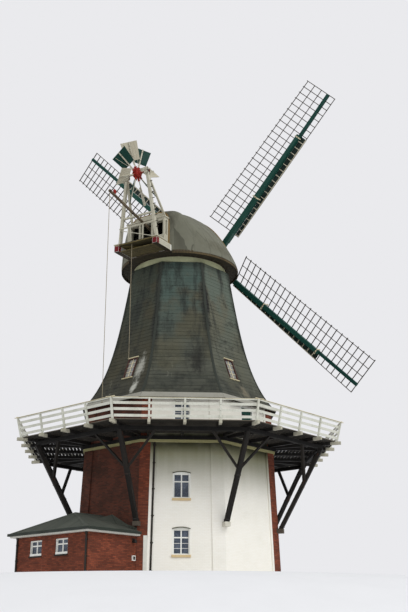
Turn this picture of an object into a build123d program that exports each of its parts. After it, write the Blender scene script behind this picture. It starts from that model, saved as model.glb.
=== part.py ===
import os
from math import cos, degrees, exp, radians, sin, sqrt, tan

from build123d import *

# Brick base, an octagon that tapers upwards. Radii are to the corners.
sides = 8
wall_height = 9200
wall_foot_radius = 5735
wall_taper = 0.041
wall_top_thickness = 350
pilaster_width = 650
panel_recess = 60

# Openings of the brick base.
window_width = 820
window_arch_rise = 60
ground_window_sill = 1350
window_height = 1270
storey_height = 2720
gallery_window_sill = 7900
gallery_window_height = 1160
gallery_door_width = 900
gallery_door_height = 1650
entrance_width = 1000
entrance_height = 2100
entrance_arch_rise = 80
door_thickness = 60
frame_width = 60
frame_depth = 90
frame_setback = 90
glass_thickness = 12
top_light_share = 0.3
sill_height = 70
sill_overhang = 70

# Floors inside.
floor_thickness = 200
ground_floor_thickness = 250
first_floor_top = 3250

# Smock, the flared timber body above the brick.
skirt_drop = 70
smock_height = 8430
smock_top_radius = 2970
smock_lean = 0.155
smock_flare = 1363
smock_flare_height = 1850
smock_thickness = 120
smock_window_width = 700
smock_window_sill = 10620
smock_window_rise = 1180
smock_window_shift = 250
smock_frame_proud = 30

# Gallery round the base.
deck_top = 7342
deck_thickness = 50
deck_corner_radius = 8850
deck_gap = 5
joist_width = 140
joist_depth = 160
joist_overhang = 250
bays_per_side = 4
ring_beam_width = 200
ring_beam_depth = 180
ring_beam_apothem = 7430
strut_foot_height = 2900
strut_width = 220
brace_width = 140
fork_height = 5250
strut_wall_gap = 30
foot_stone_height = 220
foot_stone_reach = 30
foot_stone_half_width = 150
rail_height = 950
rail_lean = 230
rail_foot_out = 64
rail_post_width = 90
rail_board_height = 130
rail_board_thickness = 25
rail_top_size = 55
rail_board_levels = (120, 420, 700)
rail_corner_gap = 75

# Curb on the smock, and the cap that turns on it.
curb_radius = 2720
curb_width = 400
curb_height = 340
curb_gap = 0.3
track_height = 40
soffit_thickness = 30
eave_radius = 3450
cap_bearing = 35
sheer_spacing = 2580
sheer_width = 300
sheer_height = 340
stage_rear = -4570
sheer_front = 2350
cross_beam_width = 150
roof_inset = 30
roof_thickness = 80
roof_rear = -3200
roof_front = 2400
gable_thickness = 60
stage_floor_thickness = 50
porch_depth = 400
porch_half_width = 1270
porch_height = 1560
porch_post = 110
porch_centre_half = 365
porch_sill_height = 520
porch_beam_depth = 160
porch_cover = 60
porch_cover_thickness = 60

# Windshaft and sails. The hub is where the windshaft's axis meets the sails' mean plane.
shaft_tilt = 10.77
hub_forward = 3887
hub_height = 20047
shaft_radius = 260
shaft_gap = 0.3
gable_hole_gap = 40
neck_bearing = 2100
tail_bearing = -550
shaft_tail = 300
bearing_beam_width = 300
bearing_beam_depth = 400
bearing_seat_depth = 150
sail_angle = 43.7
sail_radius = 12480
stock_width = 320
stock_depth = 320
stock_tip_width = 220
stock_tip_depth = 200
stock_straight = 600
stock_half_length = 9500
stock_gap = 20
poll_end_size = 760
poll_end_wall = 90
whip_width = 180
whip_depth = 180
whip_start = 1500
lattice_start = 2200
lattice_width = 1720
lattice_laths = 3
lattice_bars = 26
bar_size = 45
bar_overhang = 80
leading_root_width = 340
leading_tip_width = 560
leading_board_end = 9500
leading_board_thickness = 20
leading_board_seat = 0.6
weather_root = 0.38
weather_tip = 0

# Fantail on the stage behind the cap.
fan_back = -4580
fan_height = 22500
fan_blades = 8
fan_start_angle = 29
fan_blade_radius = 1860
fan_blade_root = 780
fan_blade_root_width = 800
fan_blade_tip_width = 1020
fan_blade_thickness = 25
fan_pitch = -38
fan_hub_radius = 230
fan_hub_width = 260
fan_axle_radius = 40
fan_axle_reach = 860
fan_spar_width = 70
fan_spar_depth = 50
fan_bore_gap = 0.3
fan_post_size = 160
fan_post_foot_side = 1250
fan_post_foot_back = -4300
fan_post_top_side = 700
fan_block_height = 320
fan_block_length = 240
fan_tie_height = 19950
fan_tie_size = 100
fan_brace_size = 110
fan_brace_top = 22400
fan_brace_foot_side = 1150
fan_brace_foot_back = -3320

# Brake pole behind the cap, and the ropes that hang from it and from the stage.
pole_side = 150
pole_root = -2900
pole_reach = 4400
pole_height = 19360
pole_rise = 920
pole_width = 110
pole_post_width = 160
rope_radius = 15
rope_knot_radius = 40
rope_inset = 40
rope_seat = 0.3
brake_rope_end = 8600
hoist_rope_back = -4440
hoist_rope_side = -330
hoist_rope_end = 11600

# Brick annex on the front left face, with a hipped roof.
annex_length = 5200
annex_depth = 3130
annex_corner = 2157
annex_wall_height = 2200
annex_wall_thickness = 300
annex_fascia_height = 200
annex_overhang = 250
annex_ridge_rise = 970
annex_hip_run = 1680
annex_roof_thickness = 90
annex_window_width = 880
annex_window_height = 730
annex_window_sill = 1270
annex_window_places = (1830, 3725)
downpipe_radius = 45
downpipe_gap = 0.4
downpipe_inset = 70

face_names = (
    "front",
    "front_right",
    "right",
    "back_right",
    "back",
    "back_left",
    "left",
    "front_left",
)
annex_face = 7
half_step = 180 / sides
corner_ratio = cos(radians(half_step))
side_ratio = tan(radians(half_step))
far = 2 * wall_foot_radius
first_window_sill = ground_window_sill + storey_height


def wall_radius(height):
    return wall_foot_radius - wall_taper * height


def wall_apothem(height):
    return wall_radius(height) * corner_ratio


def face_turn(face):
    """The direction that a face of the tower looks in, in radians."""
    return radians(-90 + 2 * half_step * face)


def face_plane(face, height=0):
    """A level plane with x along the face and -y pointing out of it."""
    turn = face_turn(face)
    return Plane((0, 0, height), x_dir=(-sin(turn), cos(turn), 0), z_dir=(0, 0, 1))


def face_elevation(face, apothem):
    """An upright plane in front of a face, with x along it and y upwards."""
    turn = face_turn(face)
    out = Vector(cos(turn), sin(turn), 0)
    return Plane(out * apothem, x_dir=(-sin(turn), cos(turn), 0), z_dir=out)


def outline(width, bottom, top, rise):
    """An opening's outline, with a segmental head where it has a rise."""
    half = width / 2
    spring = top - rise
    corners = [(half, spring), (half, bottom), (-half, bottom), (-half, spring)]
    edges = [Edge.make_line(start, end) for start, end in zip(corners, corners[1:])]
    if rise:
        edges.append(Edge.make_three_point_arc(corners[3], (0, top), corners[0]))
    else:
        edges.append(Edge.make_line(corners[3], corners[0]))
    make_face(edges)


def octagon(height, radius):
    with BuildSketch(Plane.XY.offset(height)) as ring:
        RegularPolygon(radius, sides, rotation=half_step)
    return ring.sketch


def timber(start, end, width, depth, side=(0, 0, 1)):
    """A straight bar with square ends. Its depth lies towards side."""
    start = Vector(*start)
    axis = Vector(*end) - start
    with BuildSketch(Plane(start, x_dir=Vector(*side).cross(axis), z_dir=axis)) as end_face:
        Rectangle(width, depth)
    extrude(end_face.sketch, amount=axis.length)


def raker(start, end, width, depth, turn):
    """A leaning bar whose ends are cut level. Its width lies along the direction turn."""
    start = Vector(*start)
    axis = Vector(*end) - start
    with BuildSketch(Plane(start, x_dir=(cos(turn), sin(turn), 0), z_dir=(0, 0, 1))) as foot:
        Rectangle(width, depth)
    extrude(foot.sketch, amount=axis.length, dir=axis)


def rod(start, end, radius):
    start = Vector(*start)
    axis = Vector(*end) - start
    with BuildSketch(Plane(start, z_dir=axis)) as end_face:
        Circle(radius)
    extrude(end_face.sketch, amount=axis.length)


def polar(radius, turn, height):
    return (radius * cos(turn), radius * sin(turn), height)


def write(part, name):
    part.label = name
    export_step(part, f"parts/{name}.step")


os.makedirs("parts", exist_ok=True)

# Windows by face: the height of the sill, the window's height and its arch rise.
ground_window = (ground_window_sill, window_height, window_arch_rise)
first_window = (first_window_sill, window_height, window_arch_rise)
gallery_window = (gallery_window_sill, gallery_window_height, 0)
windows = {
    0: (ground_window, first_window, gallery_window),
    2: (ground_window, first_window, gallery_window),
    4: (first_window, gallery_window),
    6: (first_window, gallery_window),
}
gallery_door_face = 1
entrance_face = 4
doors = {
    gallery_door_face: (gallery_door_width, deck_top, gallery_door_height, 0),
    entrance_face: (
        entrance_width,
        ground_floor_thickness,
        entrance_height,
        entrance_arch_rise,
    ),
}

inner_apothem = wall_apothem(wall_height) - wall_top_thickness

for face, face_name in enumerate(face_names):
    with BuildPart() as wall:
        for level in (0, wall_height):
            with BuildSketch(face_plane(face, level)):
                apothem = wall_apothem(level)
                half = apothem * side_ratio
                inner_half = inner_apothem * side_ratio
                panel_half = half - pilaster_width
                with BuildLine():
                    Polyline(
                        (-half, -apothem),
                        (-panel_half, -apothem),
                        (-panel_half, panel_recess - apothem),
                        (panel_half, panel_recess - apothem),
                        (panel_half, -apothem),
                        (half, -apothem),
                        (inner_half, -inner_apothem),
                        (-inner_half, -inner_apothem),
                        close=True,
                    )
                make_face()
        loft(ruled=True)
        for sill, height, rise in windows.get(face, ()):
            with BuildSketch(face_elevation(face, wall_foot_radius)):
                outline(window_width, sill - sill_height, sill + height, rise)
            extrude(amount=-far / 2, mode=Mode.SUBTRACT)
        if face in doors:
            width, bottom, height, rise = doors[face]
            with BuildSketch(face_elevation(face, wall_foot_radius)):
                outline(width, bottom, bottom + height, rise)
            extrude(amount=-far / 2, mode=Mode.SUBTRACT)
    write(wall.part, f"wall_{face_name}")


def frame_apothem(top):
    """The outer face of a frame, which stands back from the panel at the frame's head."""
    return wall_apothem(top) - panel_recess - frame_setback


def panes(width, bottom, top, rise):
    """The four lights of a two-leaf window, as centre and size."""
    pane_width = (width - 3 * frame_width) / 2
    clear = top - rise - bottom - 3 * frame_width
    upper = clear * top_light_share
    lower = clear - upper
    lights = []
    for side in (-1, 1):
        x = side * (pane_width + frame_width) / 2
        lights.append((x, bottom + frame_width + lower / 2, pane_width, lower))
        lights.append((x, top - rise - frame_width - upper / 2, pane_width, upper))
    return lights


annex_window_spots = [annex_corner - place for place in annex_window_places]
annex_outer = wall_apothem(annex_wall_height) + annex_depth
annex_window_top = annex_window_sill + annex_window_height
smock_bottom = wall_height - skirt_drop
smock_top = smock_bottom + smock_height


def smock_radius(height):
    up = height - smock_bottom
    lean = smock_lean * (smock_height - up)
    return smock_top_radius + lean + smock_flare * exp(-up / smock_flare_height)


def smock_slope_plane(face):
    """A plane that lies on the smock's slope, with its origin at the window sill."""
    turn = face_turn(face)
    out = Vector(cos(turn), sin(turn), 0)
    along = Vector(-sin(turn), cos(turn), 0)
    low = smock_radius(smock_window_sill) * corner_ratio
    high = smock_radius(smock_window_sill + smock_window_rise) * corner_ratio
    up = Vector(0, 0, smock_window_rise) + out * (high - low)
    return Plane(out * low + Vector(0, 0, smock_window_sill), x_dir=along, z_dir=along.cross(up))


smock_window_faces = {1: -1, 3: 1, 5: -1, 7: 1}
slope_run = (
    smock_radius(smock_window_sill) - smock_radius(smock_window_sill + smock_window_rise)
) * corner_ratio
smock_window_height = sqrt(smock_window_rise**2 + slope_run**2)

with BuildPart() as window_frames:
    for face, rows in windows.items():
        for sill, height, rise in rows:
            plane = face_elevation(face, frame_apothem(sill + height))
            with BuildSketch(plane):
                outline(window_width, sill, sill + height, rise)
            extrude(amount=-frame_depth)
            with BuildSketch(plane):
                for x, y, width, tall in panes(window_width, sill, sill + height, rise):
                    with Locations((x, y)):
                        Rectangle(width, tall)
            extrude(amount=-frame_depth, mode=Mode.SUBTRACT)
    annex_frame_plane = face_elevation(annex_face, annex_outer - frame_setback)
    for spot in annex_window_spots:
        with BuildSketch(annex_frame_plane):
            with Locations((spot, annex_window_sill + annex_window_height / 2)):
                Rectangle(annex_window_width, annex_window_height)
        extrude(amount=-frame_depth)
        with BuildSketch(annex_frame_plane):
            for x, y, width, tall in panes(
                annex_window_width, annex_window_sill, annex_window_top, 0
            ):
                with Locations((spot + x, y)):
                    Rectangle(width, tall)
        extrude(amount=-frame_depth, mode=Mode.SUBTRACT)
    for face, side in smock_window_faces.items():
        plane = smock_slope_plane(face)
        centre = (side * smock_window_shift, smock_window_height / 2)
        with BuildSketch(plane.offset(smock_frame_proud)):
            with Locations(centre):
                Rectangle(smock_window_width, smock_window_height)
        extrude(amount=-smock_frame_proud - smock_thickness)
        with BuildSketch(plane.offset(smock_frame_proud)):
            with Locations(centre):
                Rectangle(
                    smock_window_width - 2 * frame_width, smock_window_height - 2 * frame_width
                )
        extrude(amount=-smock_frame_proud - smock_thickness, mode=Mode.SUBTRACT)
write(window_frames.part, "window_frames")

glass_back = (frame_depth - glass_thickness) / 2
with BuildPart() as window_glass:
    for face, rows in windows.items():
        for sill, height, rise in rows:
            with BuildSketch(face_elevation(face, frame_apothem(sill + height) - glass_back)):
                for x, y, width, tall in panes(window_width, sill, sill + height, rise):
                    with Locations((x, y)):
                        Rectangle(width, tall)
            extrude(amount=-glass_thickness)
    for spot in annex_window_spots:
        with BuildSketch(annex_frame_plane.offset(-glass_back)):
            for x, y, width, tall in panes(
                annex_window_width, annex_window_sill, annex_window_top, 0
            ):
                with Locations((spot + x, y)):
                    Rectangle(width, tall)
        extrude(amount=-glass_thickness)
    for face, side in smock_window_faces.items():
        with BuildSketch(smock_slope_plane(face).offset(-glass_back)):
            with Locations((side * smock_window_shift, smock_window_height / 2)):
                Rectangle(
                    smock_window_width - 2 * frame_width, smock_window_height - 2 * frame_width
                )
        extrude(amount=-glass_thickness)
write(window_glass.part, "window_glass")

with BuildPart() as window_sills:
    for face, rows in windows.items():
        for sill, height, rise in rows:
            outer = wall_apothem(sill) - panel_recess + sill_overhang
            inner = frame_apothem(sill + height) - frame_depth
            with BuildSketch(face_plane(face, sill - sill_height)):
                with Locations((0, -(outer + inner) / 2)):
                    Rectangle(window_width, outer - inner)
            extrude(amount=sill_height)
write(window_sills.part, "window_sills")

for door_name, face in (("gallery_door", gallery_door_face), ("entrance_door", entrance_face)):
    width, bottom, height, rise = doors[face]
    with BuildPart() as door:
        with BuildSketch(face_elevation(face, frame_apothem(bottom + height))):
            outline(width, bottom, bottom + height, rise)
        extrude(amount=-door_thickness)
    write(door.part, door_name)

with BuildPart() as ground_floor:
    extrude(octagon(0, inner_apothem / corner_ratio), amount=ground_floor_thickness)
write(ground_floor.part, "ground_floor")

smock_floor_top = wall_height + floor_thickness
with BuildPart() as upper_floors:
    for top in (first_floor_top, deck_top):
        slab = octagon(top - floor_thickness, inner_apothem / corner_ratio)
        extrude(slab, amount=floor_thickness)
    edge_heights = (wall_height, smock_floor_top)
    loft([octagon(level, smock_radius(level) - smock_thickness) for level in edge_heights], ruled=True)
write(upper_floors.part, "upper_floors")

# The smock's eight panels are mitred at the corners. Their heights stand closer
# together where they flare most, and neighbours belong to different sets.
ring_shares = (0.08, 0.15, 0.23, 0.32, 0.42, 0.54, 0.72, 1)
ring_heights = [smock_bottom, wall_height, smock_floor_top]
ring_heights += [smock_bottom + share * smock_height for share in ring_shares]
panel_profile = [(smock_radius(level) * corner_ratio, level) for level in ring_heights]
shell_depth = smock_thickness * corner_ratio
panel_profile += [(out - shell_depth, level) for out, level in reversed(panel_profile)]
mitre_reach = 1.2 * smock_radius(smock_bottom)
mitre_half = mitre_reach * tan(radians(180 / sides))
with BuildPart() as smock_panel:
    with BuildSketch(Plane.XZ):
        Polygon(*panel_profile, align=None)
    extrude(amount=mitre_reach, both=True)
    with BuildSketch(Plane.XY.offset(smock_bottom)):
        Polygon((0, 0), (mitre_reach, -mitre_half), (mitre_reach, mitre_half), align=None)
    extrude(amount=smock_height, mode=Mode.INTERSECT)


def smock_place(face):
    return Location((0, 0, 0), (0, 0, degrees(face_turn(face))))


with BuildPart() as smock_shell:
    for face in range(0, sides, 2):
        add(smock_panel.part.moved(smock_place(face)))
write(smock_shell.part, "smock_shell")

with BuildPart() as smock_window_panels:
    for face in range(1, sides, 2):
        add(smock_panel.part.moved(smock_place(face)))
    for face, side in smock_window_faces.items():
        with BuildSketch(smock_slope_plane(face)):
            with Locations((side * smock_window_shift, smock_window_height / 2)):
                Rectangle(smock_window_width, smock_window_height)
        extrude(amount=2 * smock_thickness, both=True, mode=Mode.SUBTRACT)
write(smock_window_panels.part, "smock_window_panels")

# Gallery: a deck on joists, ring beams and forked struts.
deck_apothem = deck_corner_radius * corner_ratio
deck_bottom = deck_top - deck_thickness
joist_bottom = deck_bottom - joist_depth
beam_bottom = joist_bottom - ring_beam_depth
deck_inner = wall_apothem(deck_bottom) + deck_gap
with BuildPart() as gallery_deck:
    for face in range(sides):
        with BuildSketch(face_plane(face, deck_bottom)):
            outer_half = deck_apothem * side_ratio - deck_gap
            inner_half = deck_inner * side_ratio - deck_gap
            Polygon(
                (-outer_half, -deck_apothem),
                (outer_half, -deck_apothem),
                (inner_half, -deck_inner),
                (-inner_half, -deck_inner),
                align=None,
            )
        extrude(amount=deck_thickness)
write(gallery_deck.part, "gallery_deck")

deck_half = deck_apothem * side_ratio
bay = 2 * deck_half / bays_per_side
joist_end = deck_apothem + joist_overhang
joist_inner = wall_apothem(joist_bottom) + deck_gap
with BuildPart() as gallery_joists:
    for face in range(sides):
        for place in range(1, bays_per_side):
            with BuildSketch(face_plane(face, joist_bottom)):
                with Locations((place * bay - deck_half, -(joist_inner + joist_end) / 2)):
                    Rectangle(joist_width, joist_end - joist_inner)
            extrude(amount=joist_depth)
        corner_inner = wall_radius(joist_bottom) + joist_width
        corner_end = joist_end / corner_ratio
        with BuildSketch(face_plane(face + 0.5, joist_bottom)):
            with Locations((0, -(corner_inner + corner_end) / 2)):
                Rectangle(joist_width, corner_end - corner_inner)
        extrude(amount=joist_depth)
write(gallery_joists.part, "gallery_joists")

beam_half = ring_beam_apothem * side_ratio
beam_skew = ring_beam_width / 2 * side_ratio
with BuildPart() as gallery_beams:
    for face in range(sides):
        with BuildSketch(face_plane(face, beam_bottom)):
            far_half = beam_half + beam_skew - deck_gap
            near_half = beam_half - beam_skew - deck_gap
            Polygon(
                (-far_half, -ring_beam_apothem - ring_beam_width / 2),
                (far_half, -ring_beam_apothem - ring_beam_width / 2),
                (near_half, -ring_beam_apothem + ring_beam_width / 2),
                (-near_half, -ring_beam_apothem + ring_beam_width / 2),
                align=None,
            )
        extrude(amount=ring_beam_depth)
write(gallery_beams.part, "gallery_beams")

# Each strut leans out from a foot stone at a corner and forks under the ring beam.
beam_corner_radius = ring_beam_apothem / corner_ratio
strut_foot_radius = wall_radius(strut_foot_height) + strut_wall_gap + strut_width / 2
strut_lean = (beam_corner_radius - strut_foot_radius) / (beam_bottom - strut_foot_height)
fork_radius = strut_foot_radius + strut_lean * (fork_height - strut_foot_height)
with BuildPart() as gallery_struts:
    for corner in range(sides):
        turn = face_turn(corner + 0.5)
        foot = polar(strut_foot_radius, turn, strut_foot_height)
        head = polar(beam_corner_radius, turn, beam_bottom)
        raker(foot, head, strut_width, strut_width, turn)
        fork = Vector(*polar(fork_radius, turn, fork_height))
        for face in (corner, corner + 1):
            out = Vector(cos(face_turn(face)), sin(face_turn(face)), 0)
            along = Vector(-out.Y, out.X, 0)
            side = (beam_half - bay) * (1 if face == corner else -1)
            reach = out * ring_beam_apothem + along * side + Vector(0, 0, beam_bottom)
            raker(tuple(fork), tuple(reach), brace_width, brace_width, face_turn(face))
write(gallery_struts.part, "gallery_struts")

# Railing: one leaning panel a side, with the post of one of its corners.
rail_foot = deck_apothem + rail_foot_out
rail_top = rail_foot + rail_lean
post_length = sqrt((rail_height + deck_thickness) ** 2 + rail_lean**2)
rail_slant = post_length / (rail_height + deck_thickness)
with BuildPart() as gallery_railing:
    for face in range(sides):
        turn = face_turn(face)
        out = Vector(cos(turn), sin(turn), 0)
        along = Vector(-sin(turn), cos(turn), 0)
        up = out * rail_lean + Vector(0, 0, rail_height + deck_thickness)
        foot = out * rail_foot + Vector(0, 0, deck_bottom)
        panel = Plane(foot, x_dir=along, z_dir=along.cross(up))
        for place in range(1, bays_per_side):
            post_foot = foot + along * (place * bay - deck_half)
            raker(tuple(post_foot), tuple(post_foot + up), rail_post_width, rail_post_width, turn)
        board_centres = [(deck_thickness + level) * rail_slant for level in rail_board_levels]
        board_back = rail_post_width / 2
        with BuildSketch(panel.offset(-board_back)):
            for centre in board_centres:
                for_half = (rail_foot + rail_lean * centre / post_length) * side_ratio
                with BuildLine():
                    Polyline(
                        (rail_corner_gap - for_half, centre - rail_board_height / 2),
                        (for_half, centre - rail_board_height / 2),
                        (for_half, centre + rail_board_height / 2),
                        (rail_corner_gap - for_half, centre + rail_board_height / 2),
                        close=True,
                    )
                make_face()
        extrude(amount=rail_board_thickness)
        top_half = rail_top * side_ratio
        with BuildSketch(panel.offset(-rail_top_size / 2)):
            with Locations((rail_corner_gap / 2, post_length - rail_top_size / 2)):
                Rectangle(2 * top_half - rail_corner_gap, rail_top_size)
        extrude(amount=rail_top_size)
        corner_turn = face_turn(face + 0.5)
        low = polar(rail_foot / corner_ratio, corner_turn, deck_bottom)
        high = polar(rail_top / corner_ratio, corner_turn, deck_top + rail_height)
        raker(low, high, rail_post_width, rail_post_width, corner_turn)
write(gallery_railing.part, "gallery_railing")

with BuildPart() as downpipes:
    pipe_inset = pilaster_width + downpipe_inset
    pipe_out = downpipe_radius + downpipe_gap - panel_recess
    low = Vector(pipe_inset - wall_apothem(0) * side_ratio, -wall_apothem(0) - pipe_out, 0)
    high = Vector(
        pipe_inset - wall_apothem(joist_bottom) * side_ratio,
        -wall_apothem(joist_bottom) - pipe_out,
        joist_bottom,
    )
    with BuildSketch(Plane.XY):
        with Locations((low.X, low.Y)):
            Circle(downpipe_radius)
    extrude(amount=(high - low).length, dir=high - low)
    pipe_y = -annex_outer - downpipe_radius - downpipe_gap
    pipe_ends = (
        annex_corner - downpipe_inset,
        annex_corner - annex_length + downpipe_inset,
    )
    with BuildSketch(face_plane(annex_face)):
        for x in pipe_ends:
            with Locations((x, pipe_y)):
                Circle(downpipe_radius)
    extrude(amount=annex_wall_height)
write(downpipes.part, "downpipes")

# Annex. Its walls, fascia and roof end at the tower's tapered faces.
annex_inner = annex_outer - annex_wall_thickness
annex_left = annex_corner - annex_length
annex_middle = (annex_corner + annex_left) / 2
annex_back = 3900
eave_height = annex_wall_height + annex_fascia_height


def annex_box(left, right, front, low, high, mode=Mode.ADD):
    """A block from the annex's front line back into the tower, in the face's own plane."""
    with BuildSketch(face_plane(annex_face, low)) as base:
        with Locations(((left + right) / 2, -(front + annex_back) / 2)):
            Rectangle(right - left, front - annex_back)
    extrude(base.sketch, amount=high - low, mode=mode)


with BuildPart() as tower_block:
    loft([octagon(level, wall_radius(level)) for level in (0, wall_height)], ruled=True)

with BuildPart() as annex_walls:
    annex_box(annex_left, annex_corner, annex_outer, 0, annex_wall_height)
    annex_box(
        annex_left + annex_wall_thickness,
        annex_corner - annex_wall_thickness,
        annex_inner,
        0,
        annex_wall_height,
        Mode.SUBTRACT,
    )
    with BuildSketch(face_elevation(annex_face, annex_outer)):
        for spot in annex_window_spots:
            with Locations((spot, annex_window_sill + annex_window_height / 2)):
                Rectangle(annex_window_width, annex_window_height)
    extrude(amount=-annex_wall_thickness, mode=Mode.SUBTRACT)
    add(tower_block.part, mode=Mode.SUBTRACT)
write(annex_walls.part, "annex_walls")

eave_left = annex_left - annex_overhang
eave_right = annex_corner + annex_overhang
eave_front = annex_outer + annex_overhang
overhang_stop = wall_apothem(annex_wall_height)


def trim_at_tower():
    """Takes away what would stand inside the tower or run past its front corner."""
    add(tower_block.part, mode=Mode.SUBTRACT)
    annex_box(annex_corner, far, overhang_stop, 0, wall_height, Mode.SUBTRACT)


with BuildPart() as annex_fascia:
    annex_box(eave_left, eave_right, eave_front, annex_wall_height, eave_height)
    annex_box(
        annex_left + annex_wall_thickness,
        annex_corner - annex_wall_thickness,
        annex_inner,
        annex_wall_height,
        eave_height,
        Mode.SUBTRACT,
    )
    trim_at_tower()
write(annex_fascia.part, "annex_fascia")


def hipped_block(drop):
    """The space under the annex's roof slopes, lowered by a drop."""
    along = face_plane(annex_face).x_dir
    out = face_elevation(annex_face, 1).z_dir
    with BuildPart() as block:
        with BuildSketch(face_elevation(annex_face, eave_front)):
            with Locations((annex_middle, eave_height - drop)):
                half = (eave_right - eave_left) / 2
                Polygon((-half, 0), (half, 0), (0, annex_ridge_rise), align=None)
        extrude(amount=annex_back - eave_front)
        hip_foot = out * eave_front + Vector(0, 0, eave_height - drop)
        hip_up = out * -annex_hip_run + Vector(0, 0, annex_ridge_rise)
        split(bisect_by=Plane(hip_foot, x_dir=along, z_dir=along.cross(hip_up)), keep=Keep.BOTTOM)
    return block.part


with BuildPart() as annex_roof:
    add(hipped_block(0))
    add(hipped_block(annex_roof_thickness), mode=Mode.SUBTRACT)
    trim_at_tower()
write(annex_roof.part, "annex_roof")

# The stones under the struts stop at the annex's roof.
with BuildPart() as foot_stones:
    for corner in range(sides):
        stone_bottom = strut_foot_height - foot_stone_height
        reach = strut_foot_radius + strut_width / 2 + foot_stone_reach
        for level in (stone_bottom, strut_foot_height):
            with BuildSketch(face_plane(corner + 0.5, level)):
                radius = wall_radius(level)
                back = radius - foot_stone_half_width * side_ratio
                Polygon(
                    (0, -radius),
                    (foot_stone_half_width, -back),
                    (foot_stone_half_width, -reach),
                    (-foot_stone_half_width, -reach),
                    (-foot_stone_half_width, -back),
                    align=None,
                )
        loft(ruled=True)
    add(hipped_block(0), mode=Mode.SUBTRACT)
write(foot_stones.part, "foot_stones")

# Curb, and the cap's ring and soffit above it.
with BuildPart() as curb:
    with BuildSketch(Plane.XY.offset(smock_top)):
        Circle(curb_radius)
        Circle(curb_radius - curb_width, mode=Mode.SUBTRACT)
    extrude(amount=curb_height)
write(curb.part, "curb")

track_bottom = smock_top + curb_height + curb_gap
soffit_bottom = track_bottom + track_height
cap_base = soffit_bottom + soffit_thickness
sheer_top = cap_base + sheer_height
stage_top = sheer_top + stage_floor_thickness
bearing = radians(cap_bearing)
forward = Vector(sin(bearing), cos(bearing), 0)
rightward = Vector(cos(bearing), -sin(bearing), 0)
upward = Vector(0, 0, 1)


def cap_point(ahead, side, height):
    return tuple(forward * ahead + rightward * side + upward * height)


def cap_plane(height):
    """A level plane with x to the cap's front and y to its left."""
    return Plane((0, 0, height), x_dir=forward, z_dir=upward)


def cap_section_plane(ahead):
    """An upright plane across the cap, with x to its right and y upwards."""
    return Plane(forward * ahead, x_dir=rightward, z_dir=-forward)


def cap_block(rear, front, left, right, low, high, mode=Mode.ADD):
    with BuildSketch(cap_plane(low)) as base:
        with Locations(((rear + front) / 2, -(left + right) / 2)):
            Rectangle(front - rear, right - left)
    extrude(base.sketch, amount=high - low, mode=mode)


with BuildPart() as cap_ring:
    with BuildSketch(Plane.XY.offset(track_bottom)):
        Circle(curb_radius - curb_gap)
        Circle(curb_radius - curb_width, mode=Mode.SUBTRACT)
    extrude(amount=track_height)
    with BuildSketch(Plane.XY.offset(soffit_bottom)):
        Circle(eave_radius)
        Circle(curb_radius - curb_width, mode=Mode.SUBTRACT)
    extrude(amount=soffit_thickness)
write(cap_ring.part, "cap_ring")

sheer_half = sheer_spacing / 2
with BuildPart() as stage_beams:
    for side in (-sheer_half, sheer_half):
        cap_block(
            stage_rear,
            sheer_front,
            side - sheer_width / 2,
            side + sheer_width / 2,
            cap_base,
            sheer_top,
        )
    cap_block(
        roof_rear - cross_beam_width,
        roof_rear,
        sheer_width / 2 - sheer_half,
        sheer_half - sheer_width / 2,
        cap_base,
        sheer_top,
    )
write(stage_beams.part, "stage_beams")

stage_side = sheer_half + sheer_width / 2
with BuildPart() as stage_floor:
    cap_block(stage_rear, roof_rear, -stage_side, stage_side, sheer_top, stage_top)
write(stage_floor.part, "stage_floor")

# Roof sections across the cap: how far ahead, height of the ridge and fullness.
roof_sections = (
    (roof_rear, 20420, 6.0),
    (-2300, 20900, 2.1),
    (-1300, 21400, 1.38),
    (0, 21740, 1.3),
    (1300, 22000, 1.25),
    (roof_front, 22000, 1.42),
)
section_steps = 8


def roof_outline(ahead, ridge, fullness, inset):
    """Half of the roof's section is a superellipse between its eave and the ridge."""
    reach = sqrt((eave_radius - roof_inset) ** 2 - ahead**2) - inset
    rise = ridge - cap_base - inset
    points = []
    for step in range(section_steps + 1):
        turn = radians(90 * step / section_steps)
        x = reach * max(cos(turn), 0) ** (2 / fullness)
        points.append((x, cap_base + rise * sin(turn) ** (2 / fullness)))
    points[-1] = (0, cap_base + rise)
    return points + [(-x, y) for x, y in reversed(points[:-1])]


def roof_solid(inset):
    """The roof between its sections as flat three-sided facets."""
    rings = []
    for ahead, ridge, fullness in roof_sections:
        plane = cap_section_plane(ahead)
        rings.append([plane.from_local_coords(point) for point in roof_outline(ahead, ridge, fullness, inset)])
    facets = [Face(Wire.make_polygon(rings[0])), Face(Wire.make_polygon(rings[-1]))]
    for near, far_ring in zip(rings, rings[1:]):
        for step in range(len(near)):
            after = (step + 1) % len(near)
            if step + 1 == len(near):
                facets.append(Face(Wire.make_polygon((near[step], near[0], far_ring[0], far_ring[step]))))
                continue
            if step < section_steps:
                corners = (near[step], near[after], far_ring[after], far_ring[step])
            else:
                corners = (near[after], near[step], far_ring[step], far_ring[after])
            facets.append(Face(Wire.make_polygon((corners[0], corners[1], corners[2]))))
            facets.append(Face(Wire.make_polygon((corners[0], corners[2], corners[3]))))
    return Solid(Shell(facets))


with BuildPart() as roof_body:
    add(roof_solid(0))
with BuildPart() as roof_hollow:
    add(roof_solid(roof_thickness))
with BuildPart() as cap_roof:
    add(roof_body.part)
    add(roof_hollow.part, mode=Mode.SUBTRACT)
    slot_inner = sheer_half - sheer_width / 2 - roof_thickness
    for left, right in ((-stage_side, -slot_inner), (slot_inner, stage_side)):
        cap_block(stage_rear, 0, left, right, cap_base, sheer_top, Mode.SUBTRACT)
write(cap_roof.part, "cap_roof")

tilt = radians(shaft_tilt)
shaft_axis = forward * cos(tilt) + upward * sin(tilt)
sail_up = upward * cos(tilt) - forward * sin(tilt)
hub = forward * hub_forward + upward * hub_height


def shaft_height(ahead):
    return hub_height - (hub_forward - ahead) * tan(tilt)


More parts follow.
